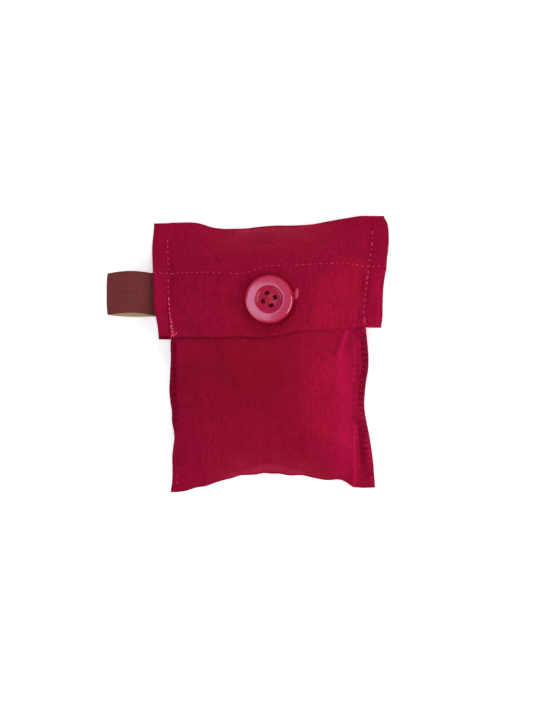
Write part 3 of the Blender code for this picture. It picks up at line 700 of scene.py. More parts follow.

# painted shade along soft wrinkles and under the flap's edge, and painted highlights where the silk catches
# the light: from, to, half width, strength
paintedShadeLines = {
    "body": [
        ((-44, 8.2), (-22, 8.2), 0.9, 0.40), ((-22, 8.2), (-6, 7.6), 0.8, 0.25),
        ((-25, 5), (-17, -12), 0.7, 0.18), ((-8, -12), (-12, -28), 0.6, 0.14),
        ((31, 0), (33.6, 8), 1.0, 0.28), ((-29, 2), (-31, -20), 0.6, 0.14),
        ((6, -20), (15, -24), 0.5, 0.12), ((-35, -46), (-31, -60), 2.0, 0.18),
        ((24, -14), (33, -20), 0.5, 0.10), ((-20, -36), (-12, -42), 0.6, 0.10),
    ],
    "flap": [
        ((-34.2, 56), (-23.8, 43.7), 0.6, 0.30), ((44.3, 40), (44.5, 31), 1.1, 0.30),
        ((41, 50.5), (46, 49.4), 0.5, 0.30), ((41.5, 47.8), (46.5, 47.0), 0.5, 0.22),
        ((-46.2, 44), (-45.4, 24), 1.4, 0.26), ((12.6, 23.6), (15.0, 20.4), 0.4, 0.3),
        ((-27, 29), (-15, 24), 0.6, 0.12), ((24, 55), (31, 50), 0.6, 0.14), ((-6, 56), (2, 52), 0.7, 0.14),
        ((49.4, 65), (48.9, 45), 0.5, 0.30), ((53.2, 66), (52.6, 41), 2.6, 0.12),
        ((-50.5, 21), (-47.6, 19.5), 0.7, 0.22), ((51.5, 50), (56, 47), 0.8, 0.18),
    ],
}
gleams = {
    "body": [
        ((40.5, -34), (40.9, -64), 0.6, 0.60), ((33.4, 0.0), (37.0, 11.0), 0.8, 0.60),
        ((35.2, -2), (35.8, -56), 4.0, 0.24), ((-42.6, 4), (-42.4, -12), 1.0, 0.07),
        ((41.2, 6), (40.8, -28), 1.3, 0.22), ((-20.5, -59.2), (-9, -56.6), 1.2, 0.22),
        ((-9, -56.6), (-1.5, -53.6), 1.3, 0.30), ((-1.5, -53.6), (6, -54.9), 1.3, 0.27),
        ((6, -54.9), (16, -57.2), 1.2, 0.19),
    ],
    "flap": [
        ((14.2, 25.2), (17.3, 20.9), 0.4, 0.40), ((-53, 40), (-51, 18), 2.0, 0.10),
        ((-26, 45), (-36, 58), 1.0, 0.10), ((-14, 58.4), (-10, 58.6), 0.8, 0.4),
        ((15.2, 60.6), (25.5, 62.6), 0.7, 0.55), ((52.4, 32), (51.8, 16), 2.4, 0.07),
    ],
}


def fromLine(x, y, a, b):
    # the distance from a stretch of straight line
    ax, ay, bx, by = (value * mm for value in (*a, *b))
    share = ((x - ax) * (bx - ax) + (y - ay) * (by - ay)) / ((bx - ax) ** 2 + (by - ay) ** 2)
    share = np.clip(share, 0, 1)
    return np.hypot(x - mix(ax, bx, share), y - mix(ay, by, share))


def grooveShade(x, y, names):
    # how much painted shade a point gets along a stitched groove, darker at each needle hole
    shade = np.zeros_like(x)
    for name, high, low, offset, width, strength in grooves:
        if name not in names:
            continue
        line = densePoints(seams[name], 0.5 * mm)
        ahead = np.gradient(line, axis=0)
        ahead /= np.linalg.norm(ahead, axis=1, keepdims=True)
        line = line + np.stack([-ahead[:, 1], ahead[:, 0]], -1) * offset * mm
        near = (x > line[:, 0].min() - 0.004) & (x < line[:, 0].max() + 0.004)
        near &= (y > line[:, 1].min() - 0.004) & (y < line[:, 1].max() + 0.004)
        if not near.any():
            continue
        away = np.hypot(x[near][:, None] - line[:, 0], y[near][:, None] - line[:, 1])
        nearest = away.argmin(1)
        closest = away[np.arange(len(nearest)), nearest]
        dots = 0.72 + 0.28 * np.cos(nearest * 0.5 * mm / dimple["pitch"] * 2 * math.pi)
        along = smooth((high * mm - y[near]) / 0.002) * smooth((y[near] - low * mm) / 0.002)
        value = strength * dots * along * np.exp(-(closest / (width * mm)) ** 2)
        shade[near] = np.maximum(shade[near], value)
    return shade


def buttonShade(x, y):
    # the cloth close round the button, which the button keeps in its own shade
    away = np.hypot(x - button["middle"][0], y - button["middle"][1])
    turn = np.arctan2(y - button["middle"][1], x - button["middle"][0])
    lee = np.maximum(np.cos(turn + 0.6), 0)
    return (0.30 + 0.25 * lee) * np.exp(-(np.maximum(away - 0.0114, 0) / mix(0.0007, 0.0014, lee)) ** 2)


def rowShadeToneGleam(row, k, panelRows, beforeFlap, afterFlap, foldRows):
    # for each point of a row: painted shade, brown cast and painted highlight (gleam)
    x, y = row[:, 0], row[:, 1]
    shadeToneGleam = np.zeros((len(row), 3))
    if k in panelRows:
        shadeToneGleam[:, 0] = grooveShade(x, y, ("bodyLeft", "bodyRightInner", "bodyRightOuter"))
        # painted shade: the body's middle and left, below the flap, are made darker
        paintedBodyShade = 0.075 * smooth((0.030 - x) / 0.020) + 0.075 * smooth((-0.028 - x) / 0.012)
        paintedBodyShade *= smooth((0.004 - y) / 0.014)
        shadeToneGleam[:, 0] = np.maximum(shadeToneGleam[:, 0], paintedBodyShade)
        shadeToneGleam[:, 1] = np.exp(-((x + 0.008) / 0.030) ** 2 - ((y + 0.006) / 0.030) ** 2)
        part = "body"
    elif k in range(beforeFlap, afterFlap):
        shadeToneGleam[:, 0] = grooveShade(x, y, ("flapLeft", "flapRight", "hem"))
        shadeToneGleam[:, 0] = np.maximum(shadeToneGleam[:, 0], buttonShade(x, y))
        shadeToneGleam[:, 1] = 0.45 * np.exp(-((x + 0.002) / 0.030) ** 2 - ((y - 0.018) / 0.024) ** 2)
        part = "flap"
    else:
        # painted shade on the hem's fold at the flap's lower edge, left of the left seam
        if k in range(afterFlap, afterFlap + foldRows):
            shadeToneGleam[:, 0] = 0.6 * smooth((-0.0470 - x) / 0.001)
        part = ""
    for channel, drawn in ((0, paintedShadeLines), (2, gleams)):
        for a, b, width, strength in drawn.get(part, []):
            value = strength * np.exp(-(fromLine(x, y, a, b) / (width * mm)) ** 2)
            shadeToneGleam[:, channel] = np.maximum(shadeToneGleam[:, channel], value)
    # painted shade on the flap's last rows by its lower edge, left of the left seam
    if afterFlap - 2 <= k < afterFlap:
        shadeToneGleam[:, 0] = np.maximum(shadeToneGleam[:, 0], 0.7 * smooth((-0.0468 - x) / 0.001))
    return shadeToneGleam


def makePouch(silk):
    rows, (hidden, panel, bottomFold, backLow), flapPlaces, slits = stripMesh()
    points, faces, starts = joinStrip(rows, slits)
    spare = strip["wingColumns"]
    # the side seams of the body: panel rows against back rows, which have other spacings
    firstPanel = len(hidden) - 1
    lastPanel = firstPanel + len(panel) - 1
    firstBack = lastPanel + len(bottomFold) + 1
    flapBack = firstBack + len(backLow) - 1
    for end in (0, 1):
        column = lambda k: starts[k] + (0 if end == 0 else len(rows[k]) - 1)
        wide = lambda k: starts[k] + (spare if end == 0 else len(rows[k]) - 1 - spare)
        front = [column(k) for k in range(firstPanel, lastPanel + 1)]
        back = [wide(flapBack)] + [column(k) for k in range(flapBack - 1, firstBack - 1, -1)]
        faces += ladder(front, back, len(panel), len(backLow))
        fold = [column(k) for k in range(lastPanel, firstBack + 1)]
        faces.append(fold)
    made = meshObject("silkPouch", points, faces)
    mesh = made.data
    along = stripCoordinates(rows, slits)
    across = {}
    for k, row in enumerate(rows):
        for i, point in enumerate(row):
            across[starts[k] + i] = (float(point[0]), along[k])
    layer = mesh.uv_layers.new(name="strip")
    for loop in mesh.loops:
        layer.data[loop.index].uv = across[loop.vertex_index]
    panelRows = range(firstPanel, lastPanel + 1)
    shadeToneGleam = [rowShadeToneGleam(np.asarray(row), k, panelRows, *flapPlaces) for k, row in enumerate(rows)]
    # painted shade, brown cast and painted highlight, kept on the points for the silk's colour
    drawn = mesh.attributes.new("shadeToneGleam", "FLOAT_VECTOR", "POINT")
    drawn.data.foreach_set("vector", np.concatenate(shadeToneGleam).ravel())
    closeSlitEnds(mesh, [np.asarray(row) for row in rows], starts, slits)
    recalculate(mesh)
    mesh.materials.append(silk)
    mesh.shade_smooth()
    thick = made.modifiers.new("cloth", "SOLIDIFY")
    thick.thickness = pouch["cloth"]
    thick.offset = 0
    return applied(made)


def ladder(front, back, frontCount, backCount):
    # triangles between two lines of unlike spacing
    faces, i, j = [], 0, 0
    while i < frontCount - 1 or j < backCount - 1:
        nextI = (i + 1) / (frontCount - 1) if i < frontCount - 1 else 2
        nextJ = (j + 1) / (backCount - 1) if j < backCount - 1 else 2
        if nextI <= nextJ:
            faces.append((front[i], front[i + 1], back[j]))
            i += 1
        else:
            faces.append((front[i], back[j + 1], back[j]))
            j += 1
    return faces


def recalculate(mesh):
    bm = bmesh.new()
    bm.from_mesh(mesh)
    bmesh.ops.recalc_face_normals(bm, faces=bm.faces)
    bm.to_mesh(mesh)
    bm.free()


def applied(obj):
    # the object with its modifiers made real
    bpy.context.view_layer.update()
    graph = bpy.context.evaluated_depsgraph_get()
    mesh = bpy.data.meshes.new_from_object(obj.evaluated_get(graph), depsgraph=graph)
    obj.modifiers.clear()
    old = obj.data
    obj.data = mesh
    mesh.name = obj.name
    bpy.data.meshes.remove(old)
    return obj


# materials


def nodeGroup(name, inputs, outputs):
    group = bpy.data.node_groups.new(name, "ShaderNodeTree")
    for socketName, kind, value in inputs:
        socket = group.interface.new_socket(name=socketName, in_out="INPUT", socket_type=kind)
        if value is not None:
            socket.default_value = value
    for socketName, kind in outputs:
        group.interface.new_socket(name=socketName, in_out="OUTPUT", socket_type=kind)
    return group, group.nodes.new("NodeGroupInput"), group.nodes.new("NodeGroupOutput")


def mathNode(tree, operation, a, b=None, c=None):
    node = tree.nodes.new("ShaderNodeMath")
    node.operation = operation
    for slotNumber, value in enumerate((a, b, c)):
        if value is None:
            continue
        if isinstance(value, (int, float)):
            node.inputs[slotNumber].default_value = value
        else:
            tree.links.new(value, node.inputs[slotNumber])
    return node.outputs[0]


def mathNodes(tree, *operations):
    # a function for each operation, which adds its node to the tree
    return [lambda *values, kind=kind: mathNode(tree, kind, *values) for kind in operations]


def stretchedNoise(tree, vector, stretch, detail=2.0, roughness=0.5):
    scaled = tree.nodes.new("ShaderNodeVectorMath")
    scaled.operation = "MULTIPLY"
    tree.links.new(vector, scaled.inputs[0])
    scaled.inputs[1].default_value = stretch
    noise = tree.nodes.new("ShaderNodeTexNoise")
    noise.inputs["Scale"].default_value = 1.0
    noise.inputs["Detail"].default_value = detail
    noise.inputs["Roughness"].default_value = roughness
    tree.links.new(scaled.outputs[0], noise.inputs["Vector"])
    return noise.outputs["Fac"]


def mixColours(tree, share, a, b):
    node = tree.nodes.new("ShaderNodeMix")
    node.data_type = "RGBA"
    node.clamp_factor = True
    for place, value in (("Factor", share), ("A", a), ("B", b)):
        if isinstance(value, bpy.types.NodeSocket):
            tree.links.new(value, node.inputs[place])
        elif place == "Factor":
            node.inputs[place].default_value = value
        else:
            node.inputs[place].default_value = (*value, 1)
    return node.outputs["Result"]


def clothGroup():
    # plain weave: fine threads both ways, uneven slubs and a soft mottle, with a brown cast, painted
    # highlight and painted shade mixed in
    group, given, put = nodeGroup("plainWeave", [
        ("Vector", "NodeSocketVector", None),
        ("Colour", "NodeSocketColor", (0.3, 0.0, 0.0, 1)),
        ("Deep Colour", "NodeSocketColor", (0.1, 0.0, 0.0, 1)),
        ("Second Colour", "NodeSocketColor", (0.2, 0.0, 0.0, 1)),
        ("Painted Shade Colour", "NodeSocketColor", (0.05, 0.0, 0.0, 1)),
        ("Gleam Colour", "NodeSocketColor", (0.6, 0.0, 0.05, 1)),
        ("Shade Tone Gleam", "NodeSocketVector", None),
        ("Threads", "NodeSocketFloat", 2800.0),
        ("Slub", "NodeSocketFloat", 0.5),
        ("Mottle", "NodeSocketFloat", 0.5),
        ("Roughness", "NodeSocketFloat", 0.5),
    ], [("Colour", "NodeSocketColor"), ("Roughness", "NodeSocketFloat"), ("Height", "NodeSocketFloat")])
    parts = group.nodes.new("ShaderNodeSeparateXYZ")
    group.links.new(given.outputs["Vector"], parts.inputs[0])
    shadeToneGleam = group.nodes.new("ShaderNodeSeparateXYZ")
    group.links.new(given.outputs["Shade Tone Gleam"], shadeToneGleam.inputs[0])
    plus, minus, times, sine = mathNodes(group, "ADD", "SUBTRACT", "MULTIPLY", "SINE")
    turns = times(given.outputs["Threads"], 2 * math.pi)
    weave = times(sine(times(parts.outputs[0], turns)), sine(times(parts.outputs[1], turns)))
    place = given.outputs["Vector"]
    warpSlub = stretchedNoise(group, place, (1500, 300, 1), 2.0, 0.6)
    weftSlub = stretchedNoise(group, place, (360, 1500, 1), 2.0, 0.6)
    fleck = stretchedNoise(group, place, (1300, 1100, 1), 2.0, 0.7)
    long = stretchedNoise(group, place, (1100, 60, 1), 1.0)
    broad = stretchedNoise(group, place, (110, 80, 1), 3.0)
    slubs = warpSlub
    for noise, weight in ((weftSlub, 0.6), (fleck, 0.8), (long, 0.4)):
        slubs = plus(slubs, times(noise, weight))
    slubs = times(minus(slubs, 1.4), given.outputs["Slub"])
    mottle = times(minus(broad, 0.5), given.outputs["Mottle"])
    share = plus(plus(plus(slubs, mottle), 0.58), times(weave, 0.05))
    plain = mixColours(group, share, given.outputs["Deep Colour"], given.outputs["Colour"])
    brown = mixColours(group, 0.6, plain, given.outputs["Second Colour"])
    toned = mixColours(group, shadeToneGleam.outputs[1], plain, brown)
    # painted highlight from the last channel, then painted shade from the first
    gleam = times(shadeToneGleam.outputs[2], plus(times(long, 0.8), 0.6))
    toned = mixColours(group, gleam, toned, given.outputs["Gleam Colour"])
    toned = mixColours(group, shadeToneGleam.outputs[0], toned, given.outputs["Painted Shade Colour"])
    group.links.new(toned, put.inputs["Colour"])
    group.links.new(minus(given.outputs["Roughness"], times(slubs, 0.12)), put.inputs["Roughness"])
    group.links.new(plus(times(weave, 0.5), times(slubs, 1.2)), put.inputs["Height"])
    return group


weaveGroup = clothGroup()


def newMaterial(name):
    made = bpy.data.materials.new(name)
    made.use_nodes = True
    tree = made.node_tree
    return made, tree, tree.nodes["Principled BSDF"]


def setSockets(shader, values):
    for socketName, value in values.items():
        shader.inputs[socketName].default_value = value


def clothMaterial(name, settings):
    made, tree, shader = newMaterial(name)
    place = tree.nodes.new("ShaderNodeUVMap")
    place.uv_map = settings["uv"]
    weave = tree.nodes.new("ShaderNodeGroup")
    weave.node_tree = weaveGroup
    tree.links.new(place.outputs["UV"], weave.inputs["Vector"])
    setSockets(weave, {
        "Colour": (*settings["colour"], 1), "Deep Colour": (*settings["deep"], 1),
        "Threads": settings["threads"], "Slub": settings["slub"], "Mottle": settings["mottle"],
        "Second Colour": (*settings["second"], 1), "Painted Shade Colour": (*settings["paintedShadeColour"], 1),
        "Gleam Colour": (*settings["gleamColour"], 1), "Roughness": settings["roughness"],
    })
    shadeToneGleam = tree.nodes.new("ShaderNodeAttribute")
    shadeToneGleam.attribute_name = settings["shadeToneGleam"]
    tree.links.new(shadeToneGleam.outputs["Vector"], weave.inputs["Shade Tone Gleam"])
    bump = tree.nodes.new("ShaderNodeBump")
    bump.inputs["Strength"].default_value = settings["bump"]
    bump.inputs["Distance"].default_value = settings["relief"]
    tree.links.new(weave.outputs["Height"], bump.inputs["Height"])
    tree.links.new(weave.outputs["Colour"], shader.inputs["Base Color"])
    tree.links.new(weave.outputs["Roughness"], shader.inputs["Roughness"])
    tree.links.new(bump.outputs["Normal"], shader.inputs["Normal"])
    setSockets(shader, {
        "Specular IOR Level": settings["specular"], "Specular Tint": (*settings["specTint"], 1),
        "Metallic": settings["lustre"],
    })
    return made


silkFinish = {
    "uv": "strip",
    "colour": (0.360, 0.0056, 0.040),
    "deep": (0.188, 0.0028, 0.016),
    "second": (0.222, 0.0054, 0.013),
    # the colours in which shade and highlight are painted into the silk
    "paintedShadeColour": (0.060, 0.0008, 0.005),
    "gleamColour": (0.56, 0.0070, 0.085),
    "shadeToneGleam": "shadeToneGleam",
    "specTint": (1.0, 0.06, 0.22),
    "threads": 2600.0,
    "slub": 1.35,
    "mottle": 0.45,
    "roughness": 0.50,
    "lustre": 0.22,
    "bump": 0.35,
    "relief": 0.00006,
    "specular": 0.03,
}
silk = clothMaterial("crimsonSilk", silkFinish)


silkPouch = makePouch(silk)
print("pouch made,", len(silkPouch.data.polygons), "faces")


# stitches: one small lens of thread for each, laid along a guide line on the cloth


def stitchTree():
    tree = bpy.data.node_groups.new("stitches", "GeometryNodeTree")
    face = tree.interface
    face.new_socket(name="Geometry", in_out="INPUT", socket_type="NodeSocketGeometry")
    usual = {"Pitch": 0.003, "Length": 0.002, "Thread": 0.0004, "Stray": 0.1, "Turn": 0.0, "Uneven": 0.2}
    for name, value in usual.items():
        face.new_socket(name=name, in_out="INPUT", socket_type="NodeSocketFloat").default_value = value
    face.new_socket(name="Seed", in_out="INPUT", socket_type="NodeSocketInt").default_value = 1
    face.new_socket(name="Material", in_out="INPUT", socket_type="NodeSocketMaterial")
    face.new_socket(name="Geometry", in_out="OUTPUT", socket_type="NodeSocketGeometry")
    new, link = tree.nodes.new, tree.links.new
    given, put = new("NodeGroupInput"), new("NodeGroupOutput")
    curve = new("GeometryNodeMeshToCurve")
    link(given.outputs["Geometry"], curve.inputs["Mesh"])
    even = new("GeometryNodeResampleCurve")
    even.mode = "LENGTH"
    link(curve.outputs["Curve"], even.inputs["Curve"])
    link(given.outputs["Pitch"], even.inputs["Length"])
    up = new("GeometryNodeInputNamedAttribute")
    up.data_type = "FLOAT_VECTOR"
    up.inputs["Name"].default_value = "up"
    tangent = new("GeometryNodeInputTangent")
    along = new("FunctionNodeAlignRotationToVector")
    along.axis = "X"
    link(tangent.outputs[0], along.inputs["Vector"])
    upright = new("FunctionNodeAlignRotationToVector")
    upright.axis, upright.pivot_axis = "Z", "X"
    link(along.outputs[0], upright.inputs["Rotation"])
    link(up.outputs["Attribute"], upright.inputs["Vector"])
    turn = new("FunctionNodeRandomValue")
    turn.data_type = "FLOAT_VECTOR"
    low, high = new("ShaderNodeCombineXYZ"), new("ShaderNodeCombineXYZ")
    link(mathNode(tree, "SUBTRACT", given.outputs["Turn"], given.outputs["Stray"]), low.inputs["Z"])
    link(mathNode(tree, "ADD", given.outputs["Turn"], given.outputs["Stray"]), high.inputs["Z"])
    link(low.outputs[0], turn.inputs["Min"])
    link(high.outputs[0], turn.inputs["Max"])
    link(given.outputs["Seed"], turn.inputs["Seed"])
    turned = new("FunctionNodeRotateRotation")
    turned.rotation_space = "LOCAL"
    link(upright.outputs[0], turned.inputs["Rotation"])
    euler = new("FunctionNodeEulerToRotation")
    link(turn.outputs["Value"], euler.inputs[0])
    link(euler.outputs[0], turned.inputs["Rotate By"])
    size = new("FunctionNodeRandomValue")
    size.data_type = "FLOAT"
    link(mathNode(tree, "SUBTRACT", 1.0, given.outputs["Uneven"]), size.inputs[2])
    link(mathNode(tree, "ADD", 1.0, given.outputs["Uneven"]), size.inputs[3])
    link(given.outputs["Seed"], size.inputs["Seed"])
    bead = new("GeometryNodeMeshUVSphere")
    bead.inputs["Segments"].default_value = 8
    bead.inputs["Rings"].default_value = 6
    bead.inputs["Radius"].default_value = 0.5
    shaped = new("ShaderNodeCombineXYZ")
    link(given.outputs["Length"], shaped.inputs["X"])
    link(given.outputs["Thread"], shaped.inputs["Y"])
    link(given.outputs["Thread"], shaped.inputs["Z"])
    lens = new("GeometryNodeTransform")
    turnBead = new("GeometryNodeTransform")
    turnBead.inputs["Rotation"].default_value = (0, math.pi / 2, 0)
    link(bead.outputs["Mesh"], turnBead.inputs["Geometry"])
    link(turnBead.outputs["Geometry"], lens.inputs["Geometry"])
    link(shaped.outputs[0], lens.inputs["Scale"])
    placed = new("GeometryNodeInstanceOnPoints")
    link(even.outputs["Curve"], placed.inputs["Points"])
    link(lens.outputs["Geometry"], placed.inputs["Instance"])
    link(turned.outputs[0], placed.inputs["Rotation"])
    link(size.outputs[1], placed.inputs["Scale"])
    real = new("GeometryNodeRealizeInstances")
    link(placed.outputs["Instances"], real.inputs["Geometry"])
    soft = new("GeometryNodeSetShadeSmooth")
    link(real.outputs["Geometry"], soft.inputs["Geometry"])
    dressed = new("GeometryNodeSetMaterial")
    link(soft.outputs["Geometry"], dressed.inputs["Geometry"])
    link(given.outputs["Material"], dressed.inputs["Material"])
    link(dressed.outputs["Geometry"], put.inputs["Geometry"])
    return tree


stitchNodes = stitchTree()


def runNodes(obj, tree, values):
    # sets a tree's inputs by their identifiers and returns the plain mesh that it makes
    modifier = obj.modifiers.new("nodes", "NODES")
    modifier.node_group = tree
    for item in tree.interface.items_tree:
        if item.item_type == "SOCKET" and item.in_out == "INPUT" and item.name in values:
            modifier[item.identifier] = values[item.name]
    bpy.context.view_layer.update()
    graph = bpy.context.evaluated_depsgraph_get()
    mesh = bpy.data.meshes.new_from_object(obj.evaluated_get(graph), depsgraph=graph)
    obj.modifiers.clear()
    return mesh


def surfaceTree(obj):
    points = [vertex.co.copy() for vertex in obj.data.vertices]
    return BVHTree.FromPolygons(points, [tuple(face.vertices) for face in obj.data.polygons])


pouchTree = surfaceTree(silkPouch)


def onCloth(x, y, fromAbove=True):
    # the point of the pouch's skin over or under a place, and its normal
    start = Vector((x, y, 0.2 if fromAbove else -0.2))
    hit, normal, _face, _far = pouchTree.ray_cast(start, Vector((0, 0, -1 if fromAbove else 1)))
    if hit is None:
        return None, None
    up = 1 if fromAbove else -1
    return hit, normal if normal.z * up > 0 else -normal


def guideLine(name, route, raise_, fromAbove=True):
    # a polyline on the cloth with the cloth's normal stored on it
    points, normals = [], []
    for x, y in route:
        hit, normal = onCloth(x, y, fromAbove)
        if hit is None:
            continue
        points.append(hit + normal * raise_)
        normals.append(normal)
    made = meshObject(name, points, [], [(i, i + 1) for i in range(len(points) - 1)])
    layer = made.data.attributes.new("up", "FLOAT_VECTOR", "POINT")
    for i, normal in enumerate(normals):
        layer.data[i].vector = normal
    return made


def joined(name, meshes):
    # one object of several meshes, each of which has one material
    bm = bmesh.new()
    materials = []
    for mesh in meshes:
        bm.from_mesh(mesh)
        worn = [material for material in mesh.materials if material][0]
        if worn not in materials:
            materials.append(worn)
        bm.faces.ensure_lookup_table()
        for face in bm.faces[len(bm.faces) - len(mesh.polygons):]:
            face.material_index = materials.index(worn)
    whole = bpy.data.meshes.new(name)
    bm.to_mesh(whole)
    bm.free()
    for material in materials:
        whole.materials.append(material)
    for mesh in meshes:
        bpy.data.meshes.remove(mesh)
    return newObject(name, whole)


threadTwist = 900.0
threadFinishes = {
    "seamThread": {"colour": (0.78, 0.034, 0.115), "deep": (0.52, 0.012, 0.052), "roughness": 0.55},
    "shadedThread": {"colour": (0.26, 0.006, 0.026), "deep": (0.15, 0.003, 0.012), "roughness": 0.55},
    "dullThread": {"colour": (0.62, 0.022, 0.082), "deep": (0.42, 0.009, 0.038), "roughness": 0.55},
    # painted highlight: a paler copy of the seam thread for the back-tack rows and the loose threads
    "highlitThread": {"colour": (0.88, 0.100, 0.220), "deep": (0.58, 0.022, 0.075), "roughness": 0.55},
    "buttonThread": {"colour": (0.66, 0.012, 0.042), "deep": (0.42, 0.004, 0.016), "roughness": 0.5},
}


def threadMaterial(name, finish):
    made, tree, shader = newMaterial(name)
    place = tree.nodes.new("ShaderNodeTexCoord")
    wave = tree.nodes.new("ShaderNodeTexWave")
    wave.wave_type = "BANDS"
    wave.bands_direction = "DIAGONAL"
    wave.inputs["Scale"].default_value = threadTwist
    wave.inputs["Distortion"].default_value = 0.6
    tree.links.new(place.outputs["Object"], wave.inputs["Vector"])
    ramp = tree.nodes.new("ShaderNodeMix")
    ramp.data_type = "RGBA"
    ramp.inputs["A"].default_value = (*finish["deep"], 1)
    ramp.inputs["B"].default_value = (*finish["colour"], 1)
    tree.links.new(wave.outputs["Fac"], ramp.inputs["Factor"])
    tree.links.new(ramp.outputs["Result"], shader.inputs["Base Color"])
    bump = tree.nodes.new("ShaderNodeBump")
    bump.inputs["Strength"].default_value = 0.4
    bump.inputs["Distance"].default_value = 0.00004
    tree.links.new(wave.outputs["Fac"], bump.inputs["Height"])
    tree.links.new(bump.outputs["Normal"], shader.inputs["Normal"])
    setSockets(shader, {"Roughness": finish["roughness"], "Sheen Weight": 0.05, "Specular IOR Level": 0.15})
    return made


thread, shadedThread, dullThread, highlitThread, redThread = [
    threadMaterial(name, finish) for name, finish in threadFinishes.items()]
rowThread = {
    "bodyLeft": shadedThread, "bodyRightInner": dullThread, "bodyRightOuter": dullThread, "hem": dullThread,
    "backTack": highlitThread, "backTackTwo": highlitThread, "backTackThree": highlitThread,
}
seeds = {"rows": 3, "extraRows": 21, "overcast": 31, "holes": 41, "fray": 61}

stitchLook = {
    "flapLeft": {"Pitch": 0.0028, "Length": 0.0013, "Thread": 0.00044, "Stray": 0.35, "Uneven": 0.38},
    "flapRight": {"Pitch": 0.0027, "Length": 0.0018, "Thread": 0.00064, "Stray": 0.42, "Uneven": 0.32},
    "hem": {"Pitch": 0.0029, "Length": 0.0017, "Thread": 0.00048, "Stray": 0.28, "Uneven": 0.30},
    "bodyRightInner": {"Pitch": 0.0027, "Length": 0.0009, "Thread": 0.00038, "Stray": 0.4, "Uneven": 0.35},
    "bodyRightOuter": {"Pitch": 0.0026, "Length": 0.0008, "Thread": 0.00036, "Stray": 0.5, "Uneven": 0.4},
    "bodyLeft": {"Pitch": 0.0027, "Length": 0.0007, "Thread": 0.00034, "Stray": 0.5, "Uneven": 0.4},
}
extraRows = {
    # the row sewn back over itself at the flap's lower left, and the last clear stitches of the left seam
    "backTack": ([(-47.6, 26), (-47.2, 19), (-46.7, 13.6), (-46.3, 8.6)],
                 {"Pitch": 0.0021, "Length": 0.0016, "Thread": 0.00066, "Stray": 0.5, "Uneven": 0.3}),
    "backTackTwo": ([(-46.9, 18), (-46.2, 13.2), (-45.7, 8.8)],
                    {"Pitch": 0.0015, "Length": 0.0012, "Thread": 0.00060, "Stray": 0.9, "Uneven": 0.4}),
    "backTackThree": ([(-46.1, 15), (-45.4, 10.6)],
                      {"Pitch": 0.0013, "Length": 0.0010, "Thread": 0.00052, "Stray": 1.2, "Uneven": 0.4}),
    "leftEnd": ([(-43.8, -55), (-43.9, -61.5)],
                {"Pitch": 0.0024, "Length": 0.0011, "Thread": 0.00042, "Stray": 0.3, "Uneven": 0.3}),
}


def evenPitch(name):
    # the pitch that comes out when a row is divided evenly
    line = densePoints(seams[name])
    length = float(np.linalg.norm(np.diff(line, axis=0), axis=1).sum())
    return length / int(length / stitchLook[name]["Pitch"])


def holePlaces(name):
    # the row of needle holes midway between the stitches
    line = densePoints(seams[name])
    gone = np.concatenate([[0], np.cumsum(np.linalg.norm(np.diff(line, axis=0), axis=1))])
    half = evenPitch(name) / 2
    return line[(gone > half) & (gone < gone[-1] - half)]


def stitchRow(name, route, look, number, fromAbove, material, sunk=0.12):
    guide = guideLine(name, route, look["Thread"] * sunk, fromAbove)
    mesh = runNodes(guide, stitchNodes, {**look, "Seed": number, "Material": material})
    bpy.data.objects.remove(guide)
    return mesh


def stitchRows(name, fromAbove):
    rows = [(row, seams[row], look, number + seeds["rows"])
            for number, (row, look) in enumerate(stitchLook.items())]
    if fromAbove:
        rows += [(row, route, look, number + seeds["extraRows"])
                 for number, (row, (route, look)) in enumerate(extraRows.items())]
    meshes = []
    for row, route, look, seed in rows:
        material = rowThread.get(row, thread)
        meshes.append(stitchRow(row, densePoints(route), look, seed, fromAbove, material))
    if fromAbove:
        meshes += overcast()
    made = joined(name, meshes)
    for vertex in made.data.vertices:
        # where the pouch lies on its back the thread is pressed flat
        vertex.co.z = max(vertex.co.z, -0.00004)
    return made


def overcast():
    # close cross stitches along both edges of the buttonhole
    look = {"Pitch": 0.00042, "Length": 0.0017, "Thread": 0.00034, "Stray": 0.12, "Turn": math.pi / 2,
            "Uneven": 0.12}
    meshes = []
    for side in (-1, 1):
        x = np.linspace(buttonhole["left"] * 0.97, buttonhole["right"] * 0.97, 60) + button["middle"][0]
        route = np.stack([x, slitY(x) + side * (slitHalf(x) + 0.0008)], -1)
        meshes.append(stitchRow("overcast", route, look, seeds["overcast"] + side, True, thread))
    return meshes


def needleHoleShade():
    # dark lenses of painted shade in the needle holes where the thread goes in
    look = {"Length": 0.00070, "Thread": 0.00052, "Stray": 0.4, "Uneven": 0.3}
    slight = {"Length": 0.00042, "Thread": 0.00034, "Stray": 0.4, "Uneven": 0.4}
    meshes = []
    for number, name in enumerate(stitchLook):
        row = dict(slight if name in ("hem", "flapLeft", "bodyRightInner") else look)
        row["Pitch"] = evenPitch(name) * 0.999
        seed = seeds["holes"] + number
        meshes.append(stitchRow(name, holePlaces(name), row, seed, True, prickShadeSilk, -0.30))
    return joined("needleHoleShade", meshes)


def fibreMaterial(name, deep, colour, roughness):
    # a mottle between two colours: dye that differs along frayed fibres, and painted shade in the needle
    # pricks
    made, tree, shader = newMaterial(name)
    place = tree.nodes.new("ShaderNodeTexCoord")
    spread = stretchedNoise(tree, place.outputs["Object"], (1400, 1400, 1400))
    tree.links.new(mixColours(tree, spread, deep, colour), shader.inputs["Base Color"])
    setSockets(shader, {"Roughness": roughness, "Specular IOR Level": 0.1})
    return made


# painted shade: a near-black red for the needle pricks
prickShadeSilk = fibreMaterial("prickShadeSilk", (0.030, 0.0005, 0.002), (0.070, 0.0011, 0.006), 0.8)
frontStitches = stitchRows("seamStitches", True)
backStitches = stitchRows("backStitches", False)
holes = needleHoleShade()
print("stitches made")

# the button, turned from its section


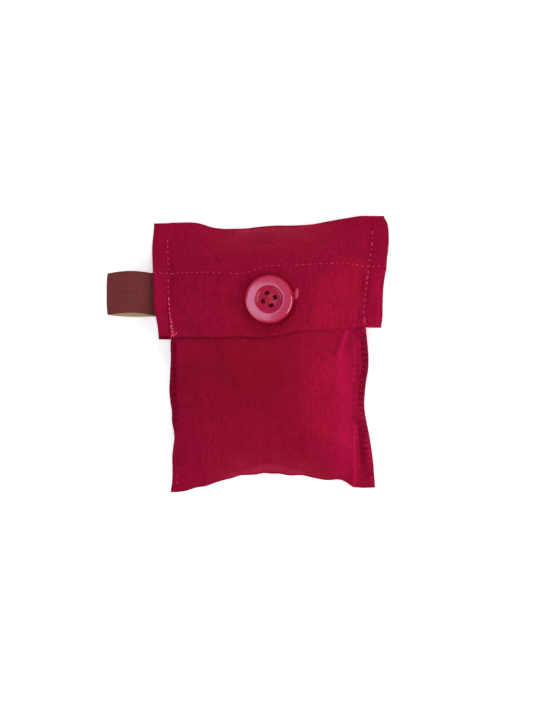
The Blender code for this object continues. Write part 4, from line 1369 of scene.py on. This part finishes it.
def turned(name, profile, steps):
    # a closed solid of revolution through (radius, height) points that start and end on the axis
    points, faces, rings = [], [], []
    for radius, height in profile:
        if radius == 0:
            rings.append([len(points)] * steps)
            points.append((0.0, 0.0, height))
            continue
        rings.append(list(range(len(points), len(points) + steps)))
        for k in range(steps):
            angle = 2 * math.pi * k / steps
            points.append((radius * math.cos(angle), radius * math.sin(angle), height))
    for low, high in zip(rings, rings[1:]):
        for k in range(steps):
            corners = [low[k], low[(k + 1) % steps], high[(k + 1) % steps], high[k]]
            faces.append(list(dict.fromkeys(corners)))
    made = meshObject(name, points, faces)
    recalculate(made.data)
    return made


def arc(middle, radius, fromDegrees, toDegrees, count):
    turns = np.radians(np.linspace(fromDegrees, toDegrees, count))
    return [(middle[0] + radius * math.cos(a), middle[1] + radius * math.sin(a)) for a in turns]


def buttonSection():
    # from the middle of the well out over the polished ring and the rim, and back to the axis underneath
    r, thick, lip = button["radius"], button["thick"], button["wellLip"]
    well, floor = button["wellRadius"], thick - button["wellDepth"]
    cup, rise = well - button["cupInset"], button["cupRise"]
    section = [(cup * share, floor + rise * share ** 3) for share in (0, 0.2, 0.4, 0.55, 0.7, 0.8, 0.9, 1.0)]
    section += [(cup + 0.00025, floor + rise + 0.00012), (cup + 0.0006, floor + rise + 0.00040)]
    section += arc((well + lip, thick - lip), lip, 172, 92, 7)
    ringEdge, drop, fall = r - button["ringInset"], button["ringFall"], button["bevelFall"]
    for share in (0.1, 0.3, 0.5, 0.7, 0.9, 1.0):
        section.append((mix(well + lip, ringEdge, share), thick - drop * share ** 1.4))
    for share in (0.1, 0.5, 0.9):
        section.append((ringEdge + button["bevelWidth"] * share, thick - drop - fall * share))
    wide, high, top = button["rimWidth"], button["rimHeight"], thick - drop - fall
    for turn in np.radians(np.linspace(button["rimFrom"], 0, 11)):
        section.append((r - wide + wide * math.cos(turn), top - high * (0.839 - math.sin(turn))))
    section += [(r - 0.0002, thick * 0.34), (r - 0.0008, thick * 0.16)]
    section += arc((r - 0.0016, 0.0004), 0.0004, -20, -90, 4)
    section += [(r * 0.5, 0.0), (0.0, 0.0)]
    return section


def buttonHoles():
    places = []
    for quarter in range(4):
        angle = math.radians(button["holeTurn"] + 90 * quarter)
        places.append((button["holeCircle"] * math.cos(angle), button["holeCircle"] * math.sin(angle)))
    return places


buttonBack = pressHeight() + 2 * pitch + pouch["cloth"] / 2 + button["shank"]


def makeButton(plastic):
    made = turned("sewButton", buttonSection(), button["steps"])
    low, high, radius = -0.001, button["thick"] + 0.001, button["holeRadius"]
    floor = button["thick"] - button["wellDepth"] + 0.0002
    cutters = []
    for number, (x, y) in enumerate(buttonHoles()):
        section = [(0.0, low), (radius + 0.0003, low), (radius, 0.0003), (radius, floor - 0.0002)]
        section += [(radius + 0.0001, floor), (radius + 0.0003, floor + 0.0002)]
        section += [(radius + 0.0006, high), (0.0, high)]
        cutter = turned(f"holeCutter{number}", section, 40)
        cutter.data.transform(Matrix.Translation((x, y, 0)))
        cut = made.modifiers.new(f"hole{number}", "BOOLEAN")
        cut.operation, cut.solver, cut.object = "DIFFERENCE", "EXACT", cutter
        cutters.append(cutter)
    applied(made)
    for cutter in cutters:
        bpy.data.objects.remove(cutter)
    made.data.transform(Matrix.Translation((*button["middle"], buttonBack)))
    made.data.materials.clear()
    made.data.materials.append(plastic)
    made.data.shade_smooth()
    made.data.set_sharp_from_angle(angle=math.radians(40))
    return made


buttonFinish = {
    "rim": ((0.33, 0.0008, 0.018), (0.45, 0.0014, 0.034)),
    "ring": ((0.38, 0.0075, 0.054), (0.48, 0.0110, 0.082)),
    "bowl": ((0.30, 0.0026, 0.030), (0.38, 0.0038, 0.046)),
    "clouds": 260.0,
    "marks": 14500.0,
    "ringFrom": 0.0062,
    "ringTo": 0.01045,
    "bowlTo": 0.0068,
    "innerBlend": 0.0004,
    "outerBlend": 0.00020,
    "ringGloss": 0.95,
    "bowlGloss": 0.24,
    "glints": (0.01044, 0.00655),
    "glintWidth": 0.00034,
}


def buttonMaterial():
    # a matt rim, a polished ring with faint turning marks, and a bowl with a little gloss
    finish = buttonFinish
    made, tree, shader = newMaterial("raspberryButton")
    plus, minus, times, over = mathNodes(tree, "ADD", "SUBTRACT", "MULTIPLY", "DIVIDE")
    most, least, size = mathNodes(tree, "MAXIMUM", "MINIMUM", "ABSOLUTE")

    def clamped(value):
        return most(least(value, 1.0), 0.0)

    place = tree.nodes.new("ShaderNodeTexCoord")
    centred = tree.nodes.new("ShaderNodeVectorMath")
    centred.operation = "SUBTRACT"
    tree.links.new(place.outputs["Object"], centred.inputs[0])
    centred.inputs[1].default_value = (*button["middle"], 0)
    parts = tree.nodes.new("ShaderNodeSeparateXYZ")
    tree.links.new(centred.outputs[0], parts.inputs[0])
    squares = [times(parts.outputs[axis], parts.outputs[axis]) for axis in (0, 1)]
    reach = mathNode(tree, "SQRT", plus(*squares))
    inner = clamped(over(minus(reach, finish["ringFrom"]), finish["innerBlend"]))
    outer = clamped(over(minus(finish["ringTo"], reach), finish["outerBlend"]))
    ring = times(inner, outer)
    bowl = clamped(over(minus(finish["bowlTo"], reach), finish["innerBlend"]))
    noise = tree.nodes.new("ShaderNodeTexNoise")
    noise.inputs["Scale"].default_value = finish["clouds"]
    noise.inputs["Detail"].default_value = 3.0
    tree.links.new(place.outputs["Object"], noise.inputs["Vector"])
    cloud = noise.outputs["Fac"]
    marks = mathNode(tree, "SINE", times(reach, finish["marks"]))
    share = plus(cloud, times(marks, 0.16))
    rimColour = mixColours(tree, cloud, *finish["rim"])
    bowlColour = mixColours(tree, share, *finish["bowl"])
    colour = mixColours(tree, bowl, rimColour, bowlColour)
    colour = mixColours(tree, ring, colour, mixColours(tree, share, *finish["ring"]))
    tree.links.new(colour, shader.inputs["Base Color"])
    bump = tree.nodes.new("ShaderNodeBump")
    bump.inputs["Strength"].default_value = 0.10
    bump.inputs["Distance"].default_value = 0.00001
    tree.links.new(plus(times(marks, 0.5), cloud), bump.inputs["Height"])
    tree.links.new(bump.outputs["Normal"], shader.inputs["Normal"])
    rough = minus(plus(times(cloud, 0.10), 0.24), times(ring, 0.12))
    tree.links.new(rough, shader.inputs["Roughness"])
    gloss = most(times(ring, finish["ringGloss"]), times(bowl, finish["bowlGloss"]))
    # the two edges of the ring are rounded, so they catch the light most
    glints = [minus(1.0, over(size(minus(reach, at)), finish["glintWidth"])) for at in finish["glints"]]
    gloss = most(gloss, clamped(times(most(*glints), 2.0)))
    tree.links.new(gloss, shader.inputs["Coat Weight"])
    setSockets(shader, {"Coat Roughness": 0.14, "Coat IOR": 1.75, "Specular IOR Level": 0.04})
    return made


sewButton = makeButton(buttonMaterial())
print("button made,", len(sewButton.data.polygons), "faces")


# threads that have their own route


def tubePart(route, radius, sides=8):
    # points and faces of a closed round tube along a polyline
    route = np.array(route, float)
    ahead = np.gradient(route, axis=0)
    ahead /= np.linalg.norm(ahead, axis=1, keepdims=True)
    normal = np.cross(ahead[0], (0.3, 0.5, 0.81))
    points, faces = [], []
    for k, (place, direction) in enumerate(zip(route, ahead)):
        normal = normal - direction * float(np.dot(normal, direction))
        normal /= np.linalg.norm(normal)
        other = np.cross(direction, normal)
        for j in range(sides):
            angle = 2 * math.pi * j / sides
            points.append(place + radius * (normal * math.cos(angle) + other * math.sin(angle)))
        if k:
            a, b = (k - 1) * sides, k * sides
            faces += [(a + j, a + (j + 1) % sides, b + (j + 1) % sides, b + j) for j in range(sides)]
    faces.append(tuple(range(sides))[::-1])
    faces.append(tuple(range(len(points) - sides, len(points))))
    return points, faces


def tubes(name, parts, material):
    points, faces = [], []
    for partPoints, partFaces in parts:
        start = len(points)
        points += [tuple(p) for p in partPoints]
        faces += [tuple(start + i for i in face) for face in partFaces]
    made = meshObject(name, points, faces)
    recalculate(made.data)
    made.data.shade_smooth()
    made.data.materials.append(material)
    return made


def rounded(points, count=6):
    # a polyline with its corners taken round, by a quadratic curve at each inner point
    points = [np.array(p, float) for p in points]
    route = [points[0]]
    for before, at, after in zip(points, points[1:], points[2:]):
        a, b = (before + at) / 2, (at + after) / 2
        for k in range(count + 1):
            f = k / count
            route.append(a * (1 - f) ** 2 + 2 * at * f * (1 - f) + b * f * f)
    route.append(points[-1])
    return route


strands = {"radius": 0.00017, "apart": 0.00031, "across": 3}


def buttonThreadParts():
    # strands over the well between opposite holes, and down through them to the shank
    holes = buttonHoles()
    middleX, middleY = button["middle"]
    floor = buttonBack + button["thick"] - button["wellDepth"] + 0.0004
    flapFace = buttonBack - button["shank"]
    parts = []
    random = np.random.default_rng(5)
    for pair in range(2):
        a, b = np.array(holes[pair]), np.array(holes[pair + 2])
        direction = (b - a) / np.linalg.norm(b - a)
        aside = np.array([-direction[1], direction[0]])
        for k in range(strands["across"]):
            offset = aside * strands["apart"] * (k - (strands["across"] - 1) / 2)
            height = floor + strands["radius"] * (1.3 + 1.9 * pair + 0.5 * (k % 2))
            ends = []
            for hole in (a, b):
                place = hole * 0.74 + offset * 1.1 + random.normal(0, 0.00004, 2)
                inner = hole * 0.62 + offset
                ends.append([
                    (middleX + 0.12 * place[0], middleY + 0.12 * place[1], flapFace + 0.0002),
                    (middleX + 0.55 * place[0], middleY + 0.55 * place[1], flapFace + 0.0009),
                    (middleX + place[0], middleY + place[1], buttonBack + 0.0004),
                    (middleX + place[0], middleY + place[1], height - 0.0007),
                    (middleX + place[0], middleY + place[1], height + 0.00004),
                    (middleX + inner[0], middleY + inner[1], height)])
            parts.append(tubePart(rounded(ends[0] + ends[1][::-1]), strands["radius"]))
    low = pressHeight() - pouch["cloth"] / 2 - pouch["plyGap"] - 0.0006
    for k in range(6):
        angle = 2 * math.pi * k / 6
        x, y = 0.0003 * math.cos(angle), 0.0003 * math.sin(angle)
        upright = [(middleX + x, middleY + y, mix(low, flapFace + 0.0006, f)) for f in np.linspace(0, 1, 6)]
        parts.append(tubePart(upright, strands["radius"]))
    wrap = []
    for k in range(60):
        angle = 2 * math.pi * k / 12
        wrap.append((middleX + 0.00055 * math.cos(angle), middleY + 0.00055 * math.sin(angle),
                     mix(flapFace + 0.0002, flapFace + 0.0011, k / 59)))
    parts.append(tubePart(wrap, strands["radius"] * 0.8))
    knot = []
    for k in range(90):
        angle = 2 * math.pi * k / 14
        reach = 0.0006 + 0.0011 * abs(math.sin(k * 0.37))
        height = low + 0.0002 * math.sin(k * 1.3)
        knot.append((middleX + reach * math.cos(angle), middleY + reach * math.sin(angle), height))
    parts.append(tubePart(knot, strands["radius"] * 0.8))
    return parts


buttonThread = tubes("buttonThread", buttonThreadParts(), redThread)


def coil(middle, reach, turnDegrees, turns, wide, high, random):
    # thread wound closely round a short bar on the cloth
    angle = math.radians(turnDegrees)
    ahead, aside = np.array([math.cos(angle), math.sin(angle)]), np.array([-math.sin(angle), math.cos(angle)])
    top = onCloth(*middle)[0].z
    route = []
    for k in range(turns * 12 + 1):
        share = k / (turns * 12)
        round_ = 2 * math.pi * k / 12
        bulge = math.sqrt(max(1 - (2 * share - 1) ** 4, 0.05)) * (1 + 0.10 * random.uniform(-1, 1))
        place = np.array(middle) + ahead * reach * (2 * share - 1) + aside * wide * bulge * math.cos(round_)
        route.append((*place, top + high * (0.55 + 0.75 * bulge * math.sin(round_))))
    return route


def tangle(middle, size, count, random):
    # a loose knot: a smooth wandering line that stays by one place
    places = np.cumsum(random.normal(0, 1, (count, 2)), axis=0)
    places = (places - places.mean(0)) / np.abs(places - places.mean(0)).max() * size
    route = []
    for k, (dx, dy) in enumerate(places):
        x, y = middle[0] + dx, middle[1] + dy
        hit = onCloth(x, y)[0] or onCloth(*middle)[0]
        route.append((x, y, hit.z + 0.00035 + 0.00030 * math.sin(k * 2.1)))
    return rounded(route, 4)


def looseThreads():
    random = np.random.default_rng(17)
    parts = [tubePart(coil((0.01290, 0.02840), 0.0022, 84, 9, 0.00072, 0.00045, random), 0.00021)]
    parts.append(tubePart(coil((-0.0098, 0.0241), 0.0019, 98, 8, 0.00060, 0.00040, random), 0.00018))
    parts.append(tubePart(tangle((-0.0449, 0.0093), 0.0013, 34, random), 0.00022))
    parts.append(tubePart(tangle((-0.0460, 0.0120), 0.0007, 14, random), 0.00020))
    parts.append(tubePart(tangle((0.0455, 0.0160), 0.0007, 10, random), 0.00018))
    return parts


def foldFibre():
    # a drawn thread that lies along the fold of the hem, under the right allowance
    route = []
    for x in np.linspace(0.0468, 0.0536, 16):
        y = float(smoothLine("flapEdge", x)) + 0.0001
        hit = onCloth(x - 0.0002, y + 0.0006)[0]
        height = hit.z if hit else route[-1][2]
        route.append((x, y - 0.00022, height - 0.00010))
    return [tubePart(route, 0.00024)]


looseThread = tubes("looseThread", looseThreads(), highlitThread)
edgeFibre = tubes("edgeFibre", foldFibre(), redThread)


def frayedEdges():
    # short fibres that stand out of the raw edges of the allowances
    look = {"Pitch": 0.0009, "Length": 0.0015, "Thread": 0.00012, "Stray": 0.7, "Turn": math.pi / 2,
            "Uneven": 0.5}
    meshes = []
    for number, (name, inset) in enumerate((("leftWing", 0.0002), ("rightWing", -0.0002))):
        route = densePoints([(x, y) for y, x in outline[name]]) + np.array([inset, 0])
        meshes.append(stitchRow(name, route, look, seeds["fray"] + number, True, frayedSilk, 0.5))
    return joined("frayedEdges", meshes)


frayedSilk = fibreMaterial("frayedSilk", (0.22, 0.004, 0.024), (0.44, 0.008, 0.056), 0.6)
frayed = frayedEdges()


# the label, a bare ribbon folded to a loop


def labelGrid():
    foldStart = label["reach"] - label["foldRadius"]
    shares = np.linspace(0, 1, 46)
    path = [(mix(label["seamGap"], foldStart, share), -1.0) for share in shares]
    for angle in np.radians(np.linspace(12, 168, 13)):
        path.append((foldStart + label["foldRadius"] * math.sin(angle), -math.cos(angle)))
    path += [(mix(foldStart, label["seamGap"], share), 1.0) for share in shares]
    across = np.linspace(-1, 1, 29)
    rows = []
    bowStart = label["allowance"] + 2 * pitch
    one = np.array([-1.0])
    seamX = float(plan(one, tAt(one, label["middle"]))[0][0])
    for away, side in path:
        along = float(np.clip((away - bowStart) / (foldStart - bowStart), 0, 1))
        bow = label["bow"] * math.sin(math.pi * along)
        y = label["middle"] + across * label["width"] / 2
        x = np.full_like(y, seamX - away)
        x += 0.0005 * across ** 4 * float(np.clip((away - foldStart + 0.005) / 0.005, 0, 1))
        t = tAt(np.full_like(y, -1.0), y)
        seam = backSurface(np.full_like(y, -1.0), t)
        out = seam[:, 0] - x
        outward = np.clip(out / wingReach(-1, y), 0, 1)
        pastEdge = np.clip((out - label["allowance"]) / (label["reach"] - label["allowance"]), 0, 1)
        base = wingPoints(backSurface, -1, outward, t, 0.0, 1)[:, 2] - label["sag"] * pastEdge ** 2
        apart = (label["thick"] + pouch["plyGap"]) / 2 + bow
        above = pouch["cloth"] / 2 + 1.5 * pouch["plyGap"] + label["thick"]
        z = base + above + bow + apart * side
        z += 0.00012 * np.sin(x / 0.0031 + side) * np.sin(across * 2.2)
        lean = label["lean"] * side * bow / label["bow"]
        if side < 0:
            lean = -label["lean"] * math.sin(math.pi * (0.22 + 0.78 * along))
        wave = 0.00010 * np.sin(x / 0.0043 + 2.0 * side)
        rows.append(np.stack([x, y + lean + wave, z], -1))
    return rows


def makeLabel(outside, inside):
    rows = labelGrid()
    points = [tuple(p) for row in rows for p in row]
    count = len(rows[0])
    faces = []
    for k in range(len(rows) - 1):
        for i in range(count - 1):
            a, b = k * count + i, (k + 1) * count + i
            faces.append((a, b, b + 1, a + 1))
    made = meshObject("ribbonLabel", points, faces)
    mesh = made.data
    along, gone = [], 0.0
    for k, row in enumerate(rows):
        gone += float(np.linalg.norm(row[count // 2] - rows[max(k - 1, 0)][count // 2]))
        along.append(gone)
    layer = mesh.uv_layers.new(name="ribbon")
    for loop in mesh.loops:
        k, i = divmod(loop.vertex_index, count)
        layer.data[loop.index].uv = (along[k], i / (count - 1) * label["width"])
    for material in (outside, inside):
        mesh.materials.append(material)
    mesh.shade_smooth()
    thick = made.modifiers.new("ribbon", "SOLIDIFY")
    thick.thickness = label["thick"]
    thick.offset = 0
    thick.material_offset = 1
    return applied(made)


def ribbonMaterial(name, finish):
    # fine ribs across the ribbon, flecked where the ground threads show
    made, tree, shader = newMaterial(name)
    place = tree.nodes.new("ShaderNodeUVMap")
    place.uv_map = "ribbon"
    parts = tree.nodes.new("ShaderNodeSeparateXYZ")
    tree.links.new(place.outputs["UV"], parts.inputs[0])
    plus, minus, times, sine = mathNodes(tree, "ADD", "SUBTRACT", "MULTIPLY", "SINE")
    ribs = sine(times(parts.outputs[0], 2 * math.pi * finish["ribs"]))
    picks = sine(times(parts.outputs[1], 2 * math.pi * finish["picks"]))
    weave = times(ribs, picks)
    fleck = stretchedNoise(tree, place.outputs["UV"], (900, 3400, 1))
    streak = stretchedNoise(tree, place.outputs["UV"], (90, 1500, 1))
    share = plus(plus(times(weave, 0.16), fleck), times(minus(streak, 0.5), 1.2))
    blend = mixColours(tree, share, finish["deep"], finish["colour"])
    # painted shade: the ribbon darkens toward the seam, where it goes in between the plies
    where = tree.nodes.new("ShaderNodeTexCoord")
    ends = tree.nodes.new("ShaderNodeSeparateXYZ")
    tree.links.new(where.outputs["Object"], ends.inputs[0])
    paintedSeamShade = mathNode(tree, "DIVIDE", plus(ends.outputs[0], 0.0612), 0.0062)
    paintedSeamShade = times(mathNode(tree, "POWER", mathNode(tree, "MAXIMUM", paintedSeamShade, 0.0), 1.6), 0.62)
    dark = tuple(value * 0.25 for value in finish["deep"])
    tree.links.new(mixColours(tree, paintedSeamShade, blend, dark), shader.inputs["Base Color"])
    bump = tree.nodes.new("ShaderNodeBump")
    bump.inputs["Strength"].default_value = 0.5
    bump.inputs["Distance"].default_value = 0.00008
    tree.links.new(weave, bump.inputs["Height"])
    tree.links.new(bump.outputs["Normal"], shader.inputs["Normal"])
    setSockets(shader, {"Roughness": 0.6, "Specular IOR Level": 0.25})
    return made


ribbonWeave = {"ribs": 1900.0, "picks": 2600.0}
ribbonOutside = ribbonMaterial(
    "ribbonOutside", {"colour": (0.200, 0.026, 0.026), "deep": (0.082, 0.010, 0.010), **ribbonWeave})
ribbonInside = ribbonMaterial(
    "ribbonInside", {"colour": (0.56, 0.43, 0.26), "deep": (0.30, 0.21, 0.12), **ribbonWeave})
ribbonLabel = makeLabel(ribbonOutside, ribbonInside)
print("label made")


# the tote, folded small inside


tote = {"sideInset": 0.0095, "endInset": 0.0105, "crown": 0.0035, "layers": 11, "valley": 0.0011,
        "gap": 0.0009, "across": 56, "up": 72, "levelSteps": 6, "knotRoom": 0.0016, "knotRadius": 0.010,
        "knotFade": 0.008}


def toteSurface(u, v, level, inset):
    # u and v run from -1 to 1 over the bundle, level from 0 underneath to 1 on top
    s = u * (1 - (tote["sideInset"] + inset) / pouch["halfWidth"])
    endShare = (tote["endInset"] + inset) / pouch["length"]
    t = mix(endShare, 1 - endShare, (v + 1) / 2)
    low = lifted(backSurface, s, t, np.zeros_like(s))
    high = lifted(frontSurface, s, t, np.zeros_like(s))
    away = np.hypot(high[..., 0] - button["middle"][0], high[..., 1] - button["middle"][1])
    room = tote["knotRoom"] * (1 - smooth((away - tote["knotRadius"]) / tote["knotFade"]))
    gap = pouch["cloth"] / 2 + tote["gap"]
    bottomZ, topZ = low[..., 2] + gap * 1.25, high[..., 2] - gap * 1.25 - room
    topZ = np.maximum(topZ, bottomZ + 0.0005)
    middle = (low + high) / 2
    return np.stack([middle[..., 0], middle[..., 1], mix(bottomZ, topZ, level)], -1)


def squareRing(n, m):
    # the rim of a grid, once round
    ring = [(i, 0) for i in range(n)] + [(n, j) for j in range(m)]
    return ring + [(n - i, m) for i in range(n)] + [(0, m - j) for j in range(m)]


def roundedSquare(i, j, n, m):
    u, v = 2 * i / n - 1, 2 * j / m - 1
    return u * math.sqrt(1 - 0.16 * v ** 4), v * math.sqrt(1 - 0.16 * u ** 4)


def makeTote(material):
    n, m = tote["across"], tote["up"]
    ring = squareRing(n, m)
    levels = np.linspace(0, 1, tote["layers"] * tote["levelSteps"] + 1)
    points, faces, ringStarts = [], [], []
    u, v = (np.array(values) for values in zip(*[roundedSquare(i, j, n, m) for i, j in ring]))
    for level in levels:
        inset = tote["valley"] * (1 - abs(math.sin(math.pi * tote["layers"] * level)))
        inset += tote["crown"] * abs(2 * level - 1) ** 3
        ringStarts.append(len(points))
        points += toteSurface(u, v, np.full_like(u, level), np.full_like(u, inset)).tolist()
    for a, b in zip(ringStarts, ringStarts[1:]):
        faces += [(a + k, a + (k + 1) % len(ring), b + (k + 1) % len(ring), b + k) for k in range(len(ring))]
    for level, start in ((0.0, ringStarts[0]), (1.0, ringStarts[-1])):
        inset = tote["valley"] + tote["crown"]
        index = {place: start + k for k, place in enumerate(ring)}
        inner = [(i, j) for i in range(1, n) for j in range(1, m)]
        index.update({place: len(points) + k for k, place in enumerate(inner)})
        uu, vv = (np.array(values) for values in zip(*[roundedSquare(i, j, n, m) for i, j in inner]))
        points += toteSurface(uu, vv, np.full_like(uu, level), np.full_like(uu, inset)).tolist()
        for i in range(n):
            for j in range(m):
                faces.append((index[i, j], index[i + 1, j], index[i + 1, j + 1], index[i, j + 1]))
    made = meshObject("foldedTote", points, faces)
    mesh = made.data
    layer = mesh.uv_layers.new(name="strip")
    for loop in mesh.loops:
        x, y, z = points[loop.vertex_index]
        layer.data[loop.index].uv = (x + z, y)
    recalculate(mesh)
    mesh.materials.append(material)
    mesh.shade_smooth()
    return made


foldedTote = makeTote(silk)
print("tote made,", len(foldedTote.data.polygons), "faces")

# camera, light and floor


def makeCamera():
    width, height = view["frameSize"]
    data = bpy.data.cameras.new("camera")
    data.lens = view["lens"]
    data.sensor_width = view["sensor"]
    data.clip_start = 0.01
    made = newObject("camera", data)
    x = (width / 2 - view["originPixel"][0]) * view["pixel"]
    y = (view["originPixel"][1] - height / 2) * view["pixel"]
    made.location = (x, y, view["seenHeight"] + height * view["pixel"] * view["lens"] / view["sensor"])
    bpy.context.scene.camera = made


white = (1.0, 1.0, 1.0)
lamps = {
    "overhead": {"place": (-0.21, 0.03, 1.25), "size": (0.42, 0.50), "power": 1.30,
                 "colour": (0.88, 0.93, 1.3), "mirrored": True},
    "window": {"place": (0.97, -0.22, 0.66), "size": (0.8, 0.7), "power": 6.6,
               "colour": (1.0, 0.98, 1.0), "mirrored": True},
    "left": {"place": (-0.78, -0.50, 0.60), "size": (1.3, 0.26), "power": 3.4,
             "colour": white, "mirrored": True},
    "top": {"place": (0.10, 0.95, 0.66), "size": (0.5, 0.5), "power": 4.7,
            "colour": white, "mirrored": False},
    "front": {"place": (0.14, -0.95, 0.66), "size": (0.5, 0.5), "power": 2.3,
              "colour": white, "mirrored": False},
}
roomLight = 0.42
floorGlow = 0.45


def makeLamp(name, settings):
    data = bpy.data.lights.new(name, "AREA")
    data.shape = "RECTANGLE"
    data.size, data.size_y = settings["size"]
    data.energy = settings["power"]
    data.color = settings["colour"]
    made = newObject(name, data)
    made.visible_glossy = settings["mirrored"]
    made.location = settings["place"]
    made.rotation_euler = (-Vector(settings["place"])).to_track_quat("-Z", "Y").to_euler()


def makeWorld(light):
    world = bpy.data.worlds.new("room")
    bpy.context.scene.world = world
    world.use_nodes = True
    setSockets(world.node_tree.nodes["Background"], {"Color": (1, 1, 1, 1), "Strength": light})


def makeFloor():
    bm = bmesh.new()
    bmesh.ops.create_grid(bm, x_segments=1, y_segments=1, size=2.0)
    mesh = bpy.data.meshes.new("floor")
    bm.to_mesh(mesh)
    bm.free()
    made = newObject("floor", mesh)
    material, tree, shader = newMaterial("paleFloor")
    setSockets(shader, {"Base Color": (0.86, 0.86, 0.86, 1), "Roughness": 0.9, "Specular IOR Level": 0.1})
    glow = tree.nodes.new("ShaderNodeEmission")
    path = tree.nodes.new("ShaderNodeLightPath")
    seen = mathNode(tree, "MAXIMUM", path.outputs["Is Camera Ray"], path.outputs["Is Glossy Ray"])
    seen = mathNode(tree, "MAXIMUM", seen, path.outputs["Is Transmission Ray"])
    tree.links.new(mathNode(tree, "MULTIPLY", seen, floorGlow), glow.inputs["Strength"])
    both = tree.nodes.new("ShaderNodeAddShader")
    tree.links.new(shader.outputs[0], both.inputs[0])
    tree.links.new(glow.outputs[0], both.inputs[1])
    tree.links.new(both.outputs[0], tree.nodes["Material Output"].inputs["Surface"])
    mesh.materials.append(material)


makeCamera()
for lampName, lampSettings in lamps.items():
    makeLamp(lampName, lampSettings)
makeWorld(roomLight)
makeFloor()
bpy.context.scene.view_settings.view_transform = "Standard"

# every piece moves with the one body
dressed = [
    (silkPouch, "pouch_cloth", "silk"), (foldedTote, "folded_tote", "tote_silk"),
    (sewButton, "button", "button"), (buttonThread, "button_thread", "thread"),
    (ribbonLabel, "label_loop", "ribbon"),
    (frontStitches, None, "thread"), (backStitches, None, "thread"), (looseThread, None, "thread"),
    (edgeFibre, None, "thread"), (holes, None, "silk"), (frayed, None, "silk"),
]
for piece, node, slotName in dressed:
    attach(piece, "root")
    if node:
        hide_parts(node)
